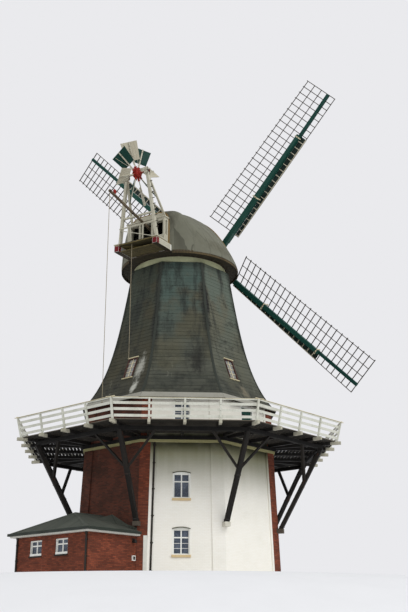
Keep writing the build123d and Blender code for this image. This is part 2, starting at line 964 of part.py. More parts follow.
with BuildPart() as front_gable:
    ahead, ridge, fullness = roof_sections[-1]
    with BuildSketch(cap_section_plane(roof_front + gable_thickness)):
        Polygon(*roof_outline(ahead, ridge, fullness, 0), align=None)
    extrude(amount=gable_thickness)
    with BuildSketch(Plane(hub, z_dir=-shaft_axis)):
        Circle(shaft_radius + gable_hole_gap)
    extrude(amount=hub_forward, mode=Mode.SUBTRACT)
write(front_gable.part, "front_gable")

porch_rear = roof_rear - porch_depth
porch_top = stage_top + porch_height
opening_low = stage_top + porch_sill_height
opening_high = porch_top - porch_beam_depth
with BuildPart() as rear_porch:
    with BuildSketch(cap_section_plane(roof_rear)):
        Polygon(*roof_outline(*roof_sections[0], 0), align=None)
    extrude(amount=gable_thickness)
    cap_block(
        stage_rear,
        roof_front,
        -eave_radius,
        eave_radius,
        cap_base - gable_thickness,
        porch_top,
        Mode.SUBTRACT,
    )
    cap_block(porch_rear, roof_rear, -porch_half_width, porch_half_width, stage_top, porch_top)
    cap_block(
        porch_rear + porch_post,
        roof_rear,
        porch_post - porch_half_width,
        porch_half_width - porch_post,
        stage_top,
        porch_top - porch_post,
        Mode.SUBTRACT,
    )
    bay_edges = (
        (porch_post - porch_half_width, -porch_centre_half - porch_post),
        (-porch_centre_half, porch_centre_half),
        (porch_centre_half + porch_post, porch_half_width - porch_post),
    )
    for left, right in bay_edges:
        cap_block(
            porch_rear,
            porch_rear + porch_post,
            left,
            right,
            opening_low,
            opening_high,
            Mode.SUBTRACT,
        )
    cap_block(
        porch_rear + porch_post,
        roof_rear - porch_post,
        -porch_half_width,
        porch_half_width,
        opening_low,
        opening_high,
        Mode.SUBTRACT,
    )
    cap_block(
        porch_rear - porch_cover,
        roof_rear,
        -porch_half_width - porch_cover,
        porch_half_width + porch_cover,
        porch_top,
        porch_top + porch_cover_thickness,
    )
write(rear_porch.part, "rear_porch")

# Trestles on the sheers carry the windshaft, and a post carries the brake pole.
with BuildPart() as cap_beams:
    for ahead in (neck_bearing, tail_bearing):
        seat_top = shaft_height(ahead) - shaft_radius / cos(tilt) + bearing_seat_depth
        rear = ahead - bearing_beam_width / 2
        front = ahead + bearing_beam_width / 2
        cap_block(rear, front, -stage_side, stage_side, seat_top - bearing_beam_depth, seat_top)
        for side in (-sheer_half, sheer_half):
            cap_block(
                rear,
                front,
                side - sheer_width / 2,
                side + sheer_width / 2,
                sheer_top,
                seat_top - bearing_beam_depth,
            )
    with BuildSketch(Plane(hub, z_dir=-shaft_axis)):
        Circle(shaft_radius + shaft_gap)
    extrude(amount=far, mode=Mode.SUBTRACT)
    pole_slope = pole_rise / pole_reach
    post_rear = pole_root
    post_front = pole_root + pole_post_width
    post_top = pole_height + pole_slope * (pole_root - post_front)
    post_top = post_top - pole_width / 2 * sqrt(1 + pole_slope**2)
    cap_block(
        post_rear,
        post_front,
        -sheer_half + sheer_width / 2,
        sheer_half - sheer_width / 2,
        sheer_top - pole_post_width,
        sheer_top,
    )
    cap_block(
        post_rear,
        post_front,
        pole_side - pole_post_width / 2,
        pole_side + pole_post_width / 2,
        sheer_top,
        post_top,
    )
write(cap_beams.part, "cap_beams")

pole_front = pole_root + 2 * pole_post_width
pole_start = cap_point(pole_front, pole_side, pole_height - 2 * pole_slope * pole_post_width)
pole_end = cap_point(pole_root - pole_reach, pole_side, pole_height + pole_rise)
with BuildPart() as brake_pole:
    timber(pole_start, pole_end, pole_width, pole_width)
write(brake_pole.part, "brake_pole")

brake_rope_back = pole_root - pole_reach + rope_inset + rope_radius
brake_rope_top = pole_height + pole_slope * (pole_root - brake_rope_back)
brake_rope_top -= pole_width / 2 * sqrt(1 + pole_slope**2) + rope_radius * pole_slope + rope_seat
ropes = (
    ("brake_rope", brake_rope_back, pole_side, brake_rope_top, brake_rope_end),
    ("hoist_rope", hoist_rope_back, hoist_rope_side, sheer_top, hoist_rope_end),
)
for rope_name, back, side, top, end in ropes:
    with BuildPart() as rope:
        rod(cap_point(back, side, end), cap_point(back, side, top), rope_radius)
        with Locations(cap_point(back, side, end)):
            Sphere(rope_knot_radius)
    write(rope.part, rope_name)

# Fantail frame: two leaning posts with a bearing block each, a tie and two braces.
forward_turn = radians(90 - cap_bearing)
block_bottom = fan_height - fan_block_height / 2
post_rise = fan_height - stage_top
tie_share = (fan_tie_height - stage_top) / post_rise
tie_back = fan_post_foot_back + tie_share * (fan_back - fan_post_foot_back)
tie_half = fan_post_foot_side + tie_share * (fan_post_top_side - fan_post_foot_side)
fan_plane = Plane(cap_point(fan_back, 0, fan_height), x_dir=forward, z_dir=rightward)
with BuildPart() as fan_frame:
    for side in (-1, 1):
        foot = cap_point(fan_post_foot_back, side * fan_post_foot_side, stage_top)
        head = cap_point(fan_back, side * fan_post_top_side, fan_height)
        raker(foot, head, fan_post_size, fan_post_size, forward_turn)
        cap_block(
            fan_back - fan_block_length / 2,
            fan_back + fan_block_length / 2,
            side * fan_post_top_side - fan_post_size / 2,
            side * fan_post_top_side + fan_post_size / 2,
            block_bottom,
            block_bottom + fan_block_height,
        )
        brace_foot = cap_point(
            fan_brace_foot_back, side * fan_brace_foot_side, porch_top + porch_cover_thickness
        )
        brace_head = cap_point(fan_back, side * fan_post_top_side, fan_brace_top)
        raker(brace_foot, brace_head, fan_brace_size, fan_brace_size, forward_turn)
    cap_block(
        tie_back - fan_tie_size / 2,
        tie_back + fan_tie_size / 2,
        -tie_half,
        tie_half,
        fan_tie_height - fan_tie_size / 2,
        fan_tie_height + fan_tie_size / 2,
    )
    with BuildSketch(fan_plane):
        Circle(fan_axle_radius + fan_bore_gap)
    extrude(amount=fan_axle_reach, both=True, mode=Mode.SUBTRACT)
write(fan_frame.part, "fan_frame")

# Fantail: an octagonal hub on its axle, and spars that carry pitched blades.
with BuildPart() as fan_hub:
    with BuildSketch(fan_plane):
        hub_turn = fan_start_angle + 180 / fan_blades
        RegularPolygon(fan_hub_radius, fan_blades, major_radius=False, rotation=hub_turn)
    extrude(amount=fan_hub_width / 2, both=True)
    with BuildSketch(fan_plane):
        Circle(fan_axle_radius)
    extrude(amount=fan_axle_reach, both=True)
write(fan_hub.part, "fan_hub")

pitch = radians(fan_pitch)


def blade_plane(number):
    """Along one blade, facing outwards from its broad side."""
    turn = radians(fan_start_angle + 360 / fan_blades * number)
    reach = forward * cos(turn) + upward * sin(turn)
    across = upward * cos(turn) - forward * sin(turn)
    normal = rightward * cos(pitch) - across * sin(pitch)
    return Plane(fan_plane.origin, x_dir=reach, z_dir=normal)


with BuildPart() as fan_spars:
    for number in range(fan_blades):
        with BuildSketch(blade_plane(number).offset(-fan_spar_depth / 2)):
            with Locations(((fan_hub_radius + fan_blade_radius) / 2, 0)):
                Rectangle(fan_blade_radius - fan_hub_radius, fan_spar_width)
        extrude(amount=fan_spar_depth)
write(fan_spars.part, "fan_spars")

for first, blade_set in enumerate(("fan_blades_white", "fan_blades_green")):
    with BuildPart() as blades:
        for number in range(first, fan_blades, 2):
            with BuildSketch(blade_plane(number).offset(-fan_spar_depth / 2)):
                Polygon(
                    (fan_blade_root, -fan_blade_root_width / 2),
                    (fan_blade_radius, -fan_blade_tip_width / 2),
                    (fan_blade_radius, fan_blade_tip_width / 2),
                    (fan_blade_root, fan_blade_root_width / 2),
                    align=None,
                )
            extrude(amount=-fan_blade_thickness)
    write(blades.part, blade_set)

# Windshaft with the poll end that holds the two stocks.
poll_centre = -(stock_depth + whip_depth) / 2
stock_shift = (stock_depth + stock_gap) / 2
poll_half_depth = stock_depth + stock_gap / 2 + poll_end_wall
outer_centre = poll_centre + stock_shift
inner_centre = poll_centre - stock_shift
first_arm = radians(sail_angle)


def arm_plane(number, ahead):
    """Along one arm of the sails, with z out of the windshaft. Its lattice is on -y."""
    turn = first_arm + radians(90 * number)
    reach = rightward * cos(turn) + sail_up * sin(turn)
    return Plane(hub + shaft_axis * ahead, x_dir=reach, z_dir=shaft_axis)


shaft_length = (hub_forward - tail_bearing + shaft_tail) / cos(tilt)
with BuildPart() as windshaft:
    with BuildSketch(Plane(hub, z_dir=-shaft_axis)):
        Circle(shaft_radius)
    extrude(amount=shaft_length)
    with BuildSketch(arm_plane(0, poll_centre - poll_half_depth)):
        Rectangle(poll_end_size, poll_end_size)
    extrude(amount=2 * poll_half_depth)
    for number, centre in ((0, outer_centre), (1, inner_centre)):
        with BuildSketch(arm_plane(number, centre - stock_depth / 2)):
            Rectangle(far, stock_width)
        extrude(amount=stock_depth, mode=Mode.SUBTRACT)
write(windshaft.part, "windshaft")

for stock_name, number, centre in (
    ("stock_outer", 0, outer_centre),
    ("stock_inner", 1, inner_centre),
):
    with BuildPart() as stock:
        with BuildSketch(arm_plane(number, centre - stock_depth / 2)):
            Rectangle(2 * stock_straight, stock_width)
        extrude(amount=stock_depth)
        for end in (number, number + 2):
            middle = arm_plane(end, centre)
            side_plane = Plane(
                middle.origin + middle.x_dir * stock_straight, x_dir=middle.y_dir, z_dir=middle.x_dir
            )
            with BuildSketch(side_plane):
                Rectangle(stock_width, stock_depth)
            with BuildSketch(side_plane.offset(stock_half_length - stock_straight)):
                with Locations((0, (stock_depth - stock_tip_depth) / 2)):
                    Rectangle(stock_tip_width, stock_tip_depth)
            loft(ruled=True)
    write(stock.part, stock_name)


def weather(radius):
    """How far the lattice leans back for its width, less and less towards the tip."""
    share = (radius - lattice_start) / (sail_radius - lattice_start)
    return weather_root + (weather_tip - weather_root) * share


def leading_width(radius):
    """The leading side widens towards the tip."""
    share = (radius - lattice_start) / (sail_radius - lattice_start)
    return leading_root_width + (leading_tip_width - leading_root_width) * share


lath_width = bar_size - 5
lath_depth = bar_size - 15
lath_places = [-lattice_width * (step + 1) / lattice_laths for step in range(lattice_laths)]
bar_spacing = (sail_radius - lattice_start - bar_size) / (lattice_bars - 1)
with BuildPart() as sail:
    with BuildSketch(Plane.XY.offset(-whip_depth / 2)):
        with Locations(((whip_start + sail_radius) / 2, 0)):
            Rectangle(sail_radius - whip_start, whip_width)
    extrude(amount=whip_depth)
    for number in range(lattice_bars):
        radius = lattice_start + bar_size / 2 + number * bar_spacing
        lean = weather(radius)
        lead = leading_width(radius)
        reach = lattice_width + bar_overhang
        low = (radius, lead, lead * lean)
        high = (radius, -reach, -reach * lean)
        timber(low, high, bar_size, bar_size, (1, 0, 0))
    root_lead = leading_root_width - lath_width / 2
    tip_lead = leading_tip_width - lath_width / 2
    lath_ends = [(root_lead, tip_lead)] + [(place, place) for place in lath_places]
    for root_place, tip_place in lath_ends:
        low = (lattice_start, root_place, root_place * weather(lattice_start))
        high = (sail_radius, tip_place, tip_place * weather(sail_radius))
        timber(low, high, lath_width, lath_depth)

for number in range(4):
    whip_shift = stock_shift if number % 2 == 0 else -stock_shift
    with BuildPart() as lattice:
        add(sail.part.moved(Location(arm_plane(number, whip_shift))))
    write(lattice.part, f"sail_lattice_{number + 1}")

board_inner = whip_width / 2 + leading_board_thickness
board_start = lattice_start - bar_size
board_steps = 8
with BuildPart() as leading_board:
    for step in range(board_steps + 1):
        radius = board_start + (leading_board_end - board_start) * step / board_steps
        lean = weather(radius)
        lead = leading_width(radius)
        low = bar_size / 2 * sqrt(1 + lean**2) + leading_board_seat
        high = low + leading_board_thickness
        with BuildSketch(Plane((radius, 0, 0), x_dir=(0, 1, 0), z_dir=(1, 0, 0))):
            Polygon(
                (board_inner, board_inner * lean + low),
                (lead, lead * lean + low),
                (lead, lead * lean + high),
                (board_inner, board_inner * lean + high),
                align=None,
            )
    loft(ruled=True)
with BuildPart() as leading_boards:
    for number in range(4):
        whip_shift = stock_shift if number % 2 == 0 else -stock_shift
        add(leading_board.part.moved(Location(arm_plane(number, whip_shift))))
write(leading_boards.part, "leading_boards")
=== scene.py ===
import itertools
import math
import random

import bmesh
import bpy
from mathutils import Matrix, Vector


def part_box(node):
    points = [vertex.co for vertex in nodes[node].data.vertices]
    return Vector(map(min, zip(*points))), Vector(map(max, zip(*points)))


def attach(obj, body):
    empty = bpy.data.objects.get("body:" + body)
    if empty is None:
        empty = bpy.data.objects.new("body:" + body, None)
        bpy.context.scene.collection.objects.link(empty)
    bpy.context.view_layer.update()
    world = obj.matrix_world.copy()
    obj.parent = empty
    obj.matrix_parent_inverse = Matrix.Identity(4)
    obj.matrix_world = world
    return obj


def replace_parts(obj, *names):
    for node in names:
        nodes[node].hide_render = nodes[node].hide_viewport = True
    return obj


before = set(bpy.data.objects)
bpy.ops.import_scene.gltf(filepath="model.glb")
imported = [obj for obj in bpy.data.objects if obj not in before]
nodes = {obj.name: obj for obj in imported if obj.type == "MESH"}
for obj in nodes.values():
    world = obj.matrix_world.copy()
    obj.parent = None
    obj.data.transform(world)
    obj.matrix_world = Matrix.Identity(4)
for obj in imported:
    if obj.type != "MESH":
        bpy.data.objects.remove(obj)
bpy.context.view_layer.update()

addToScene = bpy.context.scene.collection.objects.link


# shader helpers: a colour is a socket, or three numbers as picked from a picture

bench = {}  # the finish that is being made, its tree and its shader


def tone(picked):  # made linear, from 0 to 255
    parts = [part / 255 for part in picked]
    return [part / 12.92 if part <= 0.04045 else ((part + 0.055) / 1.055) ** 2.4 for part in parts] + [1.0]


def put(kind, wires=None, **settings):  # one shader node, its settings and its inputs
    tree = bench["tree"]
    made = tree.nodes.new("ShaderNode" + kind)
    for key, value in settings.items():
        setattr(made, key, value)
    for key, value in (wires or {}).items():
        if isinstance(value, bpy.types.NodeSocket):
            tree.links.new(value, made.inputs[key])
        else:
            made.inputs[key].default_value = value
    return made


def sum2(how, first, second=0.5, third=0.0):
    return put("Math", {0: first, 1: second, 2: third}, operation=how).outputs[0]


def times(first, second):
    return sum2("MULTIPLY", first, second)


def less(first, second):
    return sum2("SUBTRACT", first, second)


def vectorSum(how, *parts):
    parts = [tuple(part) if isinstance(part, Vector) else part for part in parts]
    made = put("VectorMath", dict(enumerate(parts)), operation=how)
    return made.outputs["Value" if how in ("DOT_PRODUCT", "LENGTH") else 0]


def heightOf(vector):
    return put("SeparateXYZ", {0: vector}).outputs[2]


def ramp(value, low, high, start=0.0, end=1.0):  # a smooth step between two values
    return put("MapRange", {"Value": value, "From Min": low, "From Max": high, "To Min": start, "To Max": end},
               interpolation_type="SMOOTHSTEP").outputs[0]


def mixTone(amount, first, second, how="MIX"):
    first, second = (tone(part) if isinstance(part, tuple) else part for part in (first, second))
    return put("Mix", {0: amount, 6: first, 7: second}, data_type="RGBA", blend_type=how).outputs[2]


def layers(colour, *rows):  # each row: a mask, its low and its high value, the most it covers, the tint
    for mask, low, high, most, tint in rows:
        colour = mixTone(ramp(mask, low, high, 0.0, most), colour, tint)
    return colour


def noise(vector, scale, detail=3.0, roughness=0.55):  # scale is one number, or one for each axis
    if isinstance(scale, tuple):
        vector, scale = vectorSum("MULTIPLY", vector, scale), 1.0
    return put("TexNoise", {"Vector": vector, "Scale": scale, "Detail": detail, "Roughness": roughness}).outputs["Fac"]


def chanceOf(value):  # one chance number for each whole number
    return put("TexWhiteNoise", {"W": value}, noise_dimensions="1D").outputs["Value"]


def startFinish(name, roughness, metallic=0.0, gloss=0.3):  # gives the place and the facing
    finish = bpy.data.materials.new(name)
    finish.use_nodes = True
    tree = finish.node_tree
    shader = tree.nodes["Principled BSDF"]
    for key, value in (("Roughness", roughness), ("Metallic", metallic), ("Specular IOR Level", gloss)):
        shader.inputs[key].default_value = value
    bench.update(finish=finish, tree=tree, shader=shader)
    place = put("TexCoord").outputs
    return place["Object"], place["Normal"]


def endFinish(colour, worn, low, high, relief, strength, distance):  # roughness runs from low to high with worn
    bump = put("Bump", {"Height": relief, "Strength": strength, "Distance": distance}).outputs[0]
    for key, value in (("Base Color", colour), ("Roughness", ramp(worn, 0.25, 0.75, low, high)), ("Normal", bump)):
        bench["tree"].links.new(value, bench["shader"].inputs[key])
    return bench["finish"]


def wallVector(spot, facing):  # along the wall, up the wall, for any upright or leaning face
    along = vectorSum("NORMALIZE", vectorSum("CROSS_PRODUCT", (0, 0, 1), facing))
    run, height = vectorSum("DOT_PRODUCT", along, spot), heightOf(spot)
    return put("CombineXYZ", {0: run, 1: height, 2: 0.0}).outputs[0], run, height


# the measured shape of the solids, and places on it

tower = {"radius": 5.735, "taper": 0.041, "deckTop": 7.342}
smock = {"foot": 9.13, "top": 17.56, "radius": 2.97, "lean": 0.155, "flare": 1.363, "flareFall": 1.85}
shaft = {"tilt": 10.77, "turn": 43.7, "shift": 0.17, "hubAhead": 3.887, "hubHeight": 20.047}
fanPlace = {"ahead": -4.58, "height": 22.5}

upward = Vector((0, 0, 1))
faceTurns = [math.radians(45 * number - 90) for number in range(8)]  # front, then turning to the right
outOf = [Vector((math.cos(turn), math.sin(turn), 0)) for turn in faceTurns]
alongOf = [Vector((-math.sin(turn), math.cos(turn), 0)) for turn in faceTurns]
cornerOf = [(outOf[face] + outOf[(face + 1) % 8]).normalized() for face in range(8)]
cornerRatio = math.cos(math.radians(22.5))
cornerSlope = math.tan(math.radians(22.5))
cornerSine = math.sin(math.radians(22.5))

forward = Vector((0.573576, 0.819152, 0))  # where the cap looks
rightward = Vector((0.819152, -0.573576, 0))
shaftTilt = math.radians(shaft["tilt"])
shaftAxis = (forward * math.cos(shaftTilt) + upward * math.sin(shaftTilt)).normalized()
sailUp = (upward * math.cos(shaftTilt) - forward * math.sin(shaftTilt)).normalized()


def turned(first, second, turn):  # the first direction turned towards the second
    return first * math.cos(turn) + second * math.sin(turn)


def facePoint(face, along, out, height):
    return outOf[face] * out + alongOf[face] * along + upward * height


def wallApothem(height):
    return (tower["radius"] - tower["taper"] * height) * cornerRatio


def wallPoint(face, along, height, out=0.0):
    return facePoint(face, along, wallApothem(height) + out, height)


def smockRadius(height):
    flare = smock["flare"] * math.exp((smock["foot"] - height) / smock["flareFall"])
    return smock["radius"] + smock["lean"] * (smock["top"] - height) + flare


def smockHalf(height):  # half the width of one face
    return smockRadius(height) * cornerSine


def smockPoint(face, along, height, out=0.0):
    return facePoint(face, along, smockRadius(height) * cornerRatio + out, height)


def capPoint(ahead, side, height):
    return forward * ahead + rightward * side + upward * height


sailHub = capPoint(shaft["hubAhead"], 0, shaft["hubHeight"])
fanHub = capPoint(fanPlace["ahead"], 0, fanPlace["height"])


def armVectors(number):  # along the arm, and across it towards the leading side
    reach = turned(rightward, sailUp, math.radians(shaft["turn"] + 90 * number))
    return reach, shaftAxis.cross(reach)


def armShift(number):  # the two stocks pass one in front of the other
    return shaft["shift"] if number % 2 == 0 else -shaft["shift"]


# mesh helpers

def addRun(mesh, sections, capped=True, wrapped=False, looped=True):  # a skin over a row of outlines
    rings = [[mesh.verts.new(point) for point in section] for section in sections]
    count = len(rings[0])
    for near, after in zip(rings, rings[1:] + rings[:1] if wrapped else rings[1:]):
        for n in range(count if looped else count - 1):
            m = (n + 1) % count
            mesh.faces.new((near[n], near[m], after[m], after[n]))
    if capped and not wrapped:
        mesh.faces.new(rings[0][::-1])
        mesh.faces.new(rings[-1])
    return rings


def addPrism(mesh, loop, push):  # a flat outline pushed out to a solid
    addRun(mesh, [loop, [point + push for point in loop]])


def boxLoop(left, right, low, high):  # the four corners of a rectangle
    return (left, low), (right, low), (right, high), (left, high)


def addBar(mesh, start, end, width, depth, side):  # a squared bar between two points
    line = (end - start).normalized()
    across = line.cross(side).normalized() * width / 2
    up = across.cross(line).normalized() * depth / 2
    addPrism(mesh, [start + across * a + up * b for a, b in boxLoop(-1, 1, -1, 1)], end - start)


def addSlat(mesh, middle, reach, width, depth, side):  # a bar that reaches as far both ways
    addBar(mesh, middle - reach, middle + reach, width, depth, side)


def addRound(mesh, start, end, radius, sides=12, tip=None):  # a round bar, or a cone with tip
    line = (end - start).normalized()
    across = line.orthogonal().normalized()
    up = line.cross(across)
    ways = [turned(across, up, 2 * math.pi * n / sides) for n in range(sides)]
    addRun(mesh, [[start + way * radius for way in ways], [end + way * (tip or radius) for way in ways]])


def addBolt(mesh, centre, axis, size, rise):  # six-sided head on a washer
    seat = centre + axis * rise * 0.35
    addRound(mesh, centre, seat, size * 0.72, 14)
    addRound(mesh, seat, centre + axis * rise, size * 0.5, 6)


def addBand(mesh, point, inner, outer, back, front):  # a frame between two outlines
    addRun(mesh, [[point(*spot, out) for spot, out in ((a, back), (b, back), (b, front), (a, front))]
                  for a, b in zip(inner, outer)], wrapped=True)


def newMeshes(count):
    return [bmesh.new() for n in range(count)]


def finishPiece(mesh, name, finish, body, bevel=0.0, smooth=False):
    data = bpy.data.meshes.new(name)
    bmesh.ops.recalc_face_normals(mesh, faces=mesh.faces)
    mesh.to_mesh(data)
    mesh.free()
    data.materials.append(finishes[finish])
    made = bpy.data.objects.new(name, data)
    addToScene(made)
    if bevel:
        edge = made.modifiers.new("softEdges", "BEVEL")
        edge.width = bevel
        edge.segments = 1
        edge.limit_method = "ANGLE"
    data.polygons.foreach_set("use_smooth", [smooth] * len(data.polygons))
    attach(made, body)
    return made


# finishes

brickwork = {
    "length": 0.225, "course": 0.075, "joint": 0.010, "quoin": 0.52,
    "tower": ((76, 38, 26), (112, 56, 38), (80, 60, 48)),  # dark, light and mortar
    "annex": ((106, 48, 30), (150, 74, 48), (88, 56, 42)),
    # limeTop: damp green together with painted shade under the gallery, darkening the lime from limeLowHeight up to
    # limeTopHeight
    "lime": (246, 243, 234), "limeTop": (114, 114, 62), "limeTopHeight": 7.3, "limeLowHeight": 3.9,
}


def stain(spot, colour, centre, size, tint, amount):  # a ragged patch round one place
    away = vectorSum("MULTIPLY", vectorSum("SUBTRACT", spot, centre), [1 / part for part in size])
    ragged = sum2("MULTIPLY_ADD", noise(spot, (6.0, 6.0, 1.8), 6.0, 0.7), 1.8, -0.9)
    away = sum2("ADD", vectorSum("LENGTH", away), ragged)
    return layers(colour, (away, 1.1, 0.2, amount, tint))


def brickCourses(wall, tones, smooth, bias):
    first, second, mortar = (tone(part) for part in tones)
    return put("TexBrick", {
        "Vector": wall, "Color1": first, "Color2": second, "Mortar": mortar, "Scale": 1.0,
        "Mortar Size": brickwork["joint"], "Mortar Smooth": smooth, "Bias": bias,
        "Brick Width": brickwork["length"], "Row Height": brickwork["course"]}).outputs


def brickTones(spot, wall, tones, damp):  # the colours of old brickwork
    courses = brickCourses(wall, tones, 0.3, -0.1)
    clouds, speckle = noise(spot, 0.9, 4.0), noise(spot, 34.0, 2.0)
    streaks = noise(wall, (2.2, 0.25, 1.0), 4.0)
    colour = layers(courses["Color"], (clouds, 0.35, 0.7, damp, (46, 34, 28)),
                    (streaks, 0.64, 0.76, 0.3, (150, 136, 122)), (speckle, 0.4, 0.75, 0.3, (60, 44, 36)))
    return colour, clouds, less(speckle, courses["Fac"])


def brickFinish(name, place, damp):
    spot, facing = startFinish(name, 0.88)
    colour, clouds, relief = brickTones(spot, wallVector(spot, facing)[0], brickwork[place], damp)
    return endFinish(colour, clouds, 0.8, 0.95, relief, 0.6, 0.008)


def limeFinish(name, outward):  # lime wash, darker and greener towards the gallery, partly damp green and partly painted shade, near black under the deck as painted shade, with bare brick at one corner
    spot, facing = startFinish(name, 0.85)
    wall, run, height = wallVector(spot, facing)
    courses = brickCourses(wall, ((255, 255, 255), (252, 251, 249), (246, 245, 241)), 0.8, 0.0)
    streaks = noise(wall, (1.6, 0.1, 1.0), 4.0)
    clouds, chips = noise(spot, 0.7, 4.0), noise(spot, 5.0, 4.0, 0.7)
    level = sum2("ADD", height, times(less(streaks, 0.5), 0.7))
    # the lime darkens to limeTop towards the gallery: partly damp green, partly painted shade
    green = times(ramp(level, brickwork["limeLowHeight"], brickwork["limeTopHeight"]),
                  ramp(height, 7.28, 7.36, 1.0, 0.1))  # the damp green and the painted shade both fade above the deck
    colour = mixTone(green, brickwork["lime"], brickwork["limeTop"])
    # painted shade: the wall turns near black just under the gallery deck
    galleryShade = times(ramp(height, 6.2, 6.95), ramp(height, 7.28, 7.36, 0.92, 0.0))
    colour = layers(mixTone(galleryShade, colour, (22, 21, 13)), (clouds, 0.45, 0.8, 0.18, (200, 198, 180)))
    colour = mixTone(0.8, colour, courses["Color"], "MULTIPLY")
    colour = layers(colour, (chips, 0.7, 0.76, 0.3, (184, 174, 158)))
    edge = sum2("MULTIPLY_ADD", height, -tower["taper"] * cornerSine,
                tower["radius"] * cornerSine - brickwork["quoin"])
    bare = ramp(less(vectorSum("DOT_PRODUCT", spot, outward), edge), -0.008, 0.008)
    colour = mixTone(bare, colour, brickTones(spot, wall, brickwork["annex"], 0.3)[0])
    return endFinish(colour, clouds, 0.75, 0.92, less(chips, courses["Fac"]), 0.3, 0.004)


smockCover = {
    "course": 0.22, "lap": 0.018, "edge": 0.006, "gap": 0.006, "overlap": 0.012, "low": 9.44, "high": 17.53,
    "cornerGap": 0.015, "cornerWidth": 0.07, "cornerThick": 0.012, "cornerLow": 9.2, "cornerHigh": 17.54,
    "cornerSteps": 22, "windowLow": 10.52, "windowHigh": 11.92, "windowHalf": 0.47,
    "skirt": ((9.14, 9.30, 0.045), (9.30, 9.45, 0.032)),  # from, to and thickness of each board
    "stains": (  # face, along, height, width, length, tint, amount
        (7, 1.02, 11.1, 0.36, 2.1, (176, 176, 166), 0.8), (7, 1.12, 9.9, 0.28, 1.5, (190, 190, 180), 0.85),
        (0, 0.85, 11.4, 0.44, 3.1, (24, 24, 20), 0.8), (0, 1.40, 15.7, 0.32, 2.8, (18, 20, 17), 0.95),
        (1, 0.2, 9.9, 0.4, 0.8, (128, 120, 100), 0.6), (2, 0.6, 11.0, 0.5, 1.6, (130, 130, 116), 0.5),
        (4, -0.7, 12.5, 0.5, 2.0, (26, 28, 24), 0.6)),
}


def smockFinish(name):  # tarred boards, streaked by rain at the top, with painted shade on the faces turned left and painted light on those turned right
    spot, facing = startFinish(name, 0.82)
    wall, run, height = wallVector(spot, facing)
    count = sum2("DIVIDE", less(height, smockCover["low"]), smockCover["course"])
    course = sum2("FLOOR", count)
    length = sum2("FLOOR", sum2("ADD", times(run, 0.7), times(chanceOf(course), 9.0)))
    board = chanceOf(sum2("MULTIPLY_ADD", length, 0.37, course))
    edge = ramp(sum2("FRACT", count), 0.0, 0.12, 1.0, 0.0)
    grain = noise(wall, (1.4, 22.0, 1.0), 5.0, 0.65)
    runs = noise(spot, (1.5, 1.5, 0.11), 6.0, 0.68)
    clouds, patches = noise(spot, 0.5, 4.0), noise(spot, 1.3, 5.0, 0.65)
    top = ramp(height, 11.5, 16.0)
    # painted side light: faces turned to the left darker brown as painted shade, faces turned to the right paler as
    # painted light
    sideShadeAndLight = vectorSum("DOT_PRODUCT", facing, (-0.97, -0.1, 0.2))
    colour = layers((46, 49, 42), (grain, 0.35, 0.65, 1.0, (74, 77, 67)), (board, 0.0, 1.0, 0.34, (98, 98, 86)),
                    (clouds, 0.42, 0.66, 0.5, (80, 76, 56)))
    colour = mixTone(times(times(ramp(clouds, 0.64, 0.46), top), 0.7), colour, (66, 86, 80))
    colour = layers(colour, (sideShadeAndLight, 0.2, 0.9, 0.65, (52, 48, 30)), (sideShadeAndLight, -0.2, -0.8, 0.5, (112, 114, 98)),
                    (height, 11.4, 9.6, 0.45, (46, 47, 40)))
    streak = times(ramp(runs, 0.47, 0.64), sum2("MULTIPLY_ADD", top, 0.35, 0.5))
    colour = layers(mixTone(streak, colour, (30, 34, 30)), (patches, 0.54, 0.7, 0.6, (28, 30, 25)))
    half = sum2("MULTIPLY_ADD", height, -smock["lean"] * cornerSine,
                (smock["radius"] + smock["lean"] * smock["top"]) * cornerSine)
    corner = times(ramp(less(half, sum2("ABSOLUTE", run)), 0.28, 0.02), ramp(height, 11.8, 13.0))
    corner = times(corner, ramp(patches, 0.35, 0.55, 0.2, 0.85))  # soot beside the corners
    pale = times(ramp(runs, 0.4, 0.3, 0.0, 0.5), ramp(height, 12.6, 9.8))
    colour = mixTone(pale, mixTone(corner, colour, (26, 29, 25)), (136, 134, 120))
    for face, along, level, wide, tall, tint, amount in smockCover["stains"]:
        centre = facePoint(face, along, smockRadius(level) * 0.93, level)
        colour = stain(spot, colour, centre, (wide, wide, tall), tint, amount)
    faint = times(ramp(noise(spot, 1.6), 0.38, 0.6, 0.1, 1.0), sum2("MULTIPLY_ADD", top, -0.25, 0.5))
    colour = mixTone(times(edge, faint), colour, (20, 22, 18))
    return endFinish(colour, grain, 0.7, 0.92, less(grain, edge), 0.4, 0.006)


def boardFinish(name, base, pale, deep, board, streak=0.3):  # upright boards
    spot, facing = startFinish(name, 0.8)
    wall, run = wallVector(spot, facing)[:2]
    count = sum2("DIVIDE", run, board)
    edge = ramp(sum2("FRACT", count), 0.0, 0.1, 1.0, 0.0)
    grain = noise(wall, (26.0, 1.6, 1.0), 5.0, 0.65)
    runs = noise(wall, (2.6, 0.16, 1.0), 5.0)
    colour = layers(deep, (grain, 0.35, 0.7, 1.0, base))
    colour = mixTone(times(chanceOf(sum2("FLOOR", count)), 0.45), colour, pale)
    colour = layers(colour, (runs, 0.5, 0.72, streak, deep), (noise(spot, 0.55, 4.0), 0.48, 0.72, 0.35, pale))
    colour = mixTone(times(edge, 0.75), colour, (24, 25, 22))
    return endFinish(colour, grain, 0.7, 0.9, less(grain, edge), 0.5, 0.006)


def paintTones(spot, colour, worn, dirt, wear=0.3, grain=(24.0, 24.0, 4.8)):  # the colours of one aged paint
    grain = noise(spot, grain, 4.0, 0.6)
    chips = noise(spot, 16.0, 4.0, 0.7)
    mixed = layers(colour, (noise(spot, 1.1, 4.0), 0.4, 0.75, 0.35, dirt), (grain, 0.45, 0.8, 0.3, dirt),
                   (chips, 0.64, 0.7, wear, worn))
    return mixed, less(grain, chips)


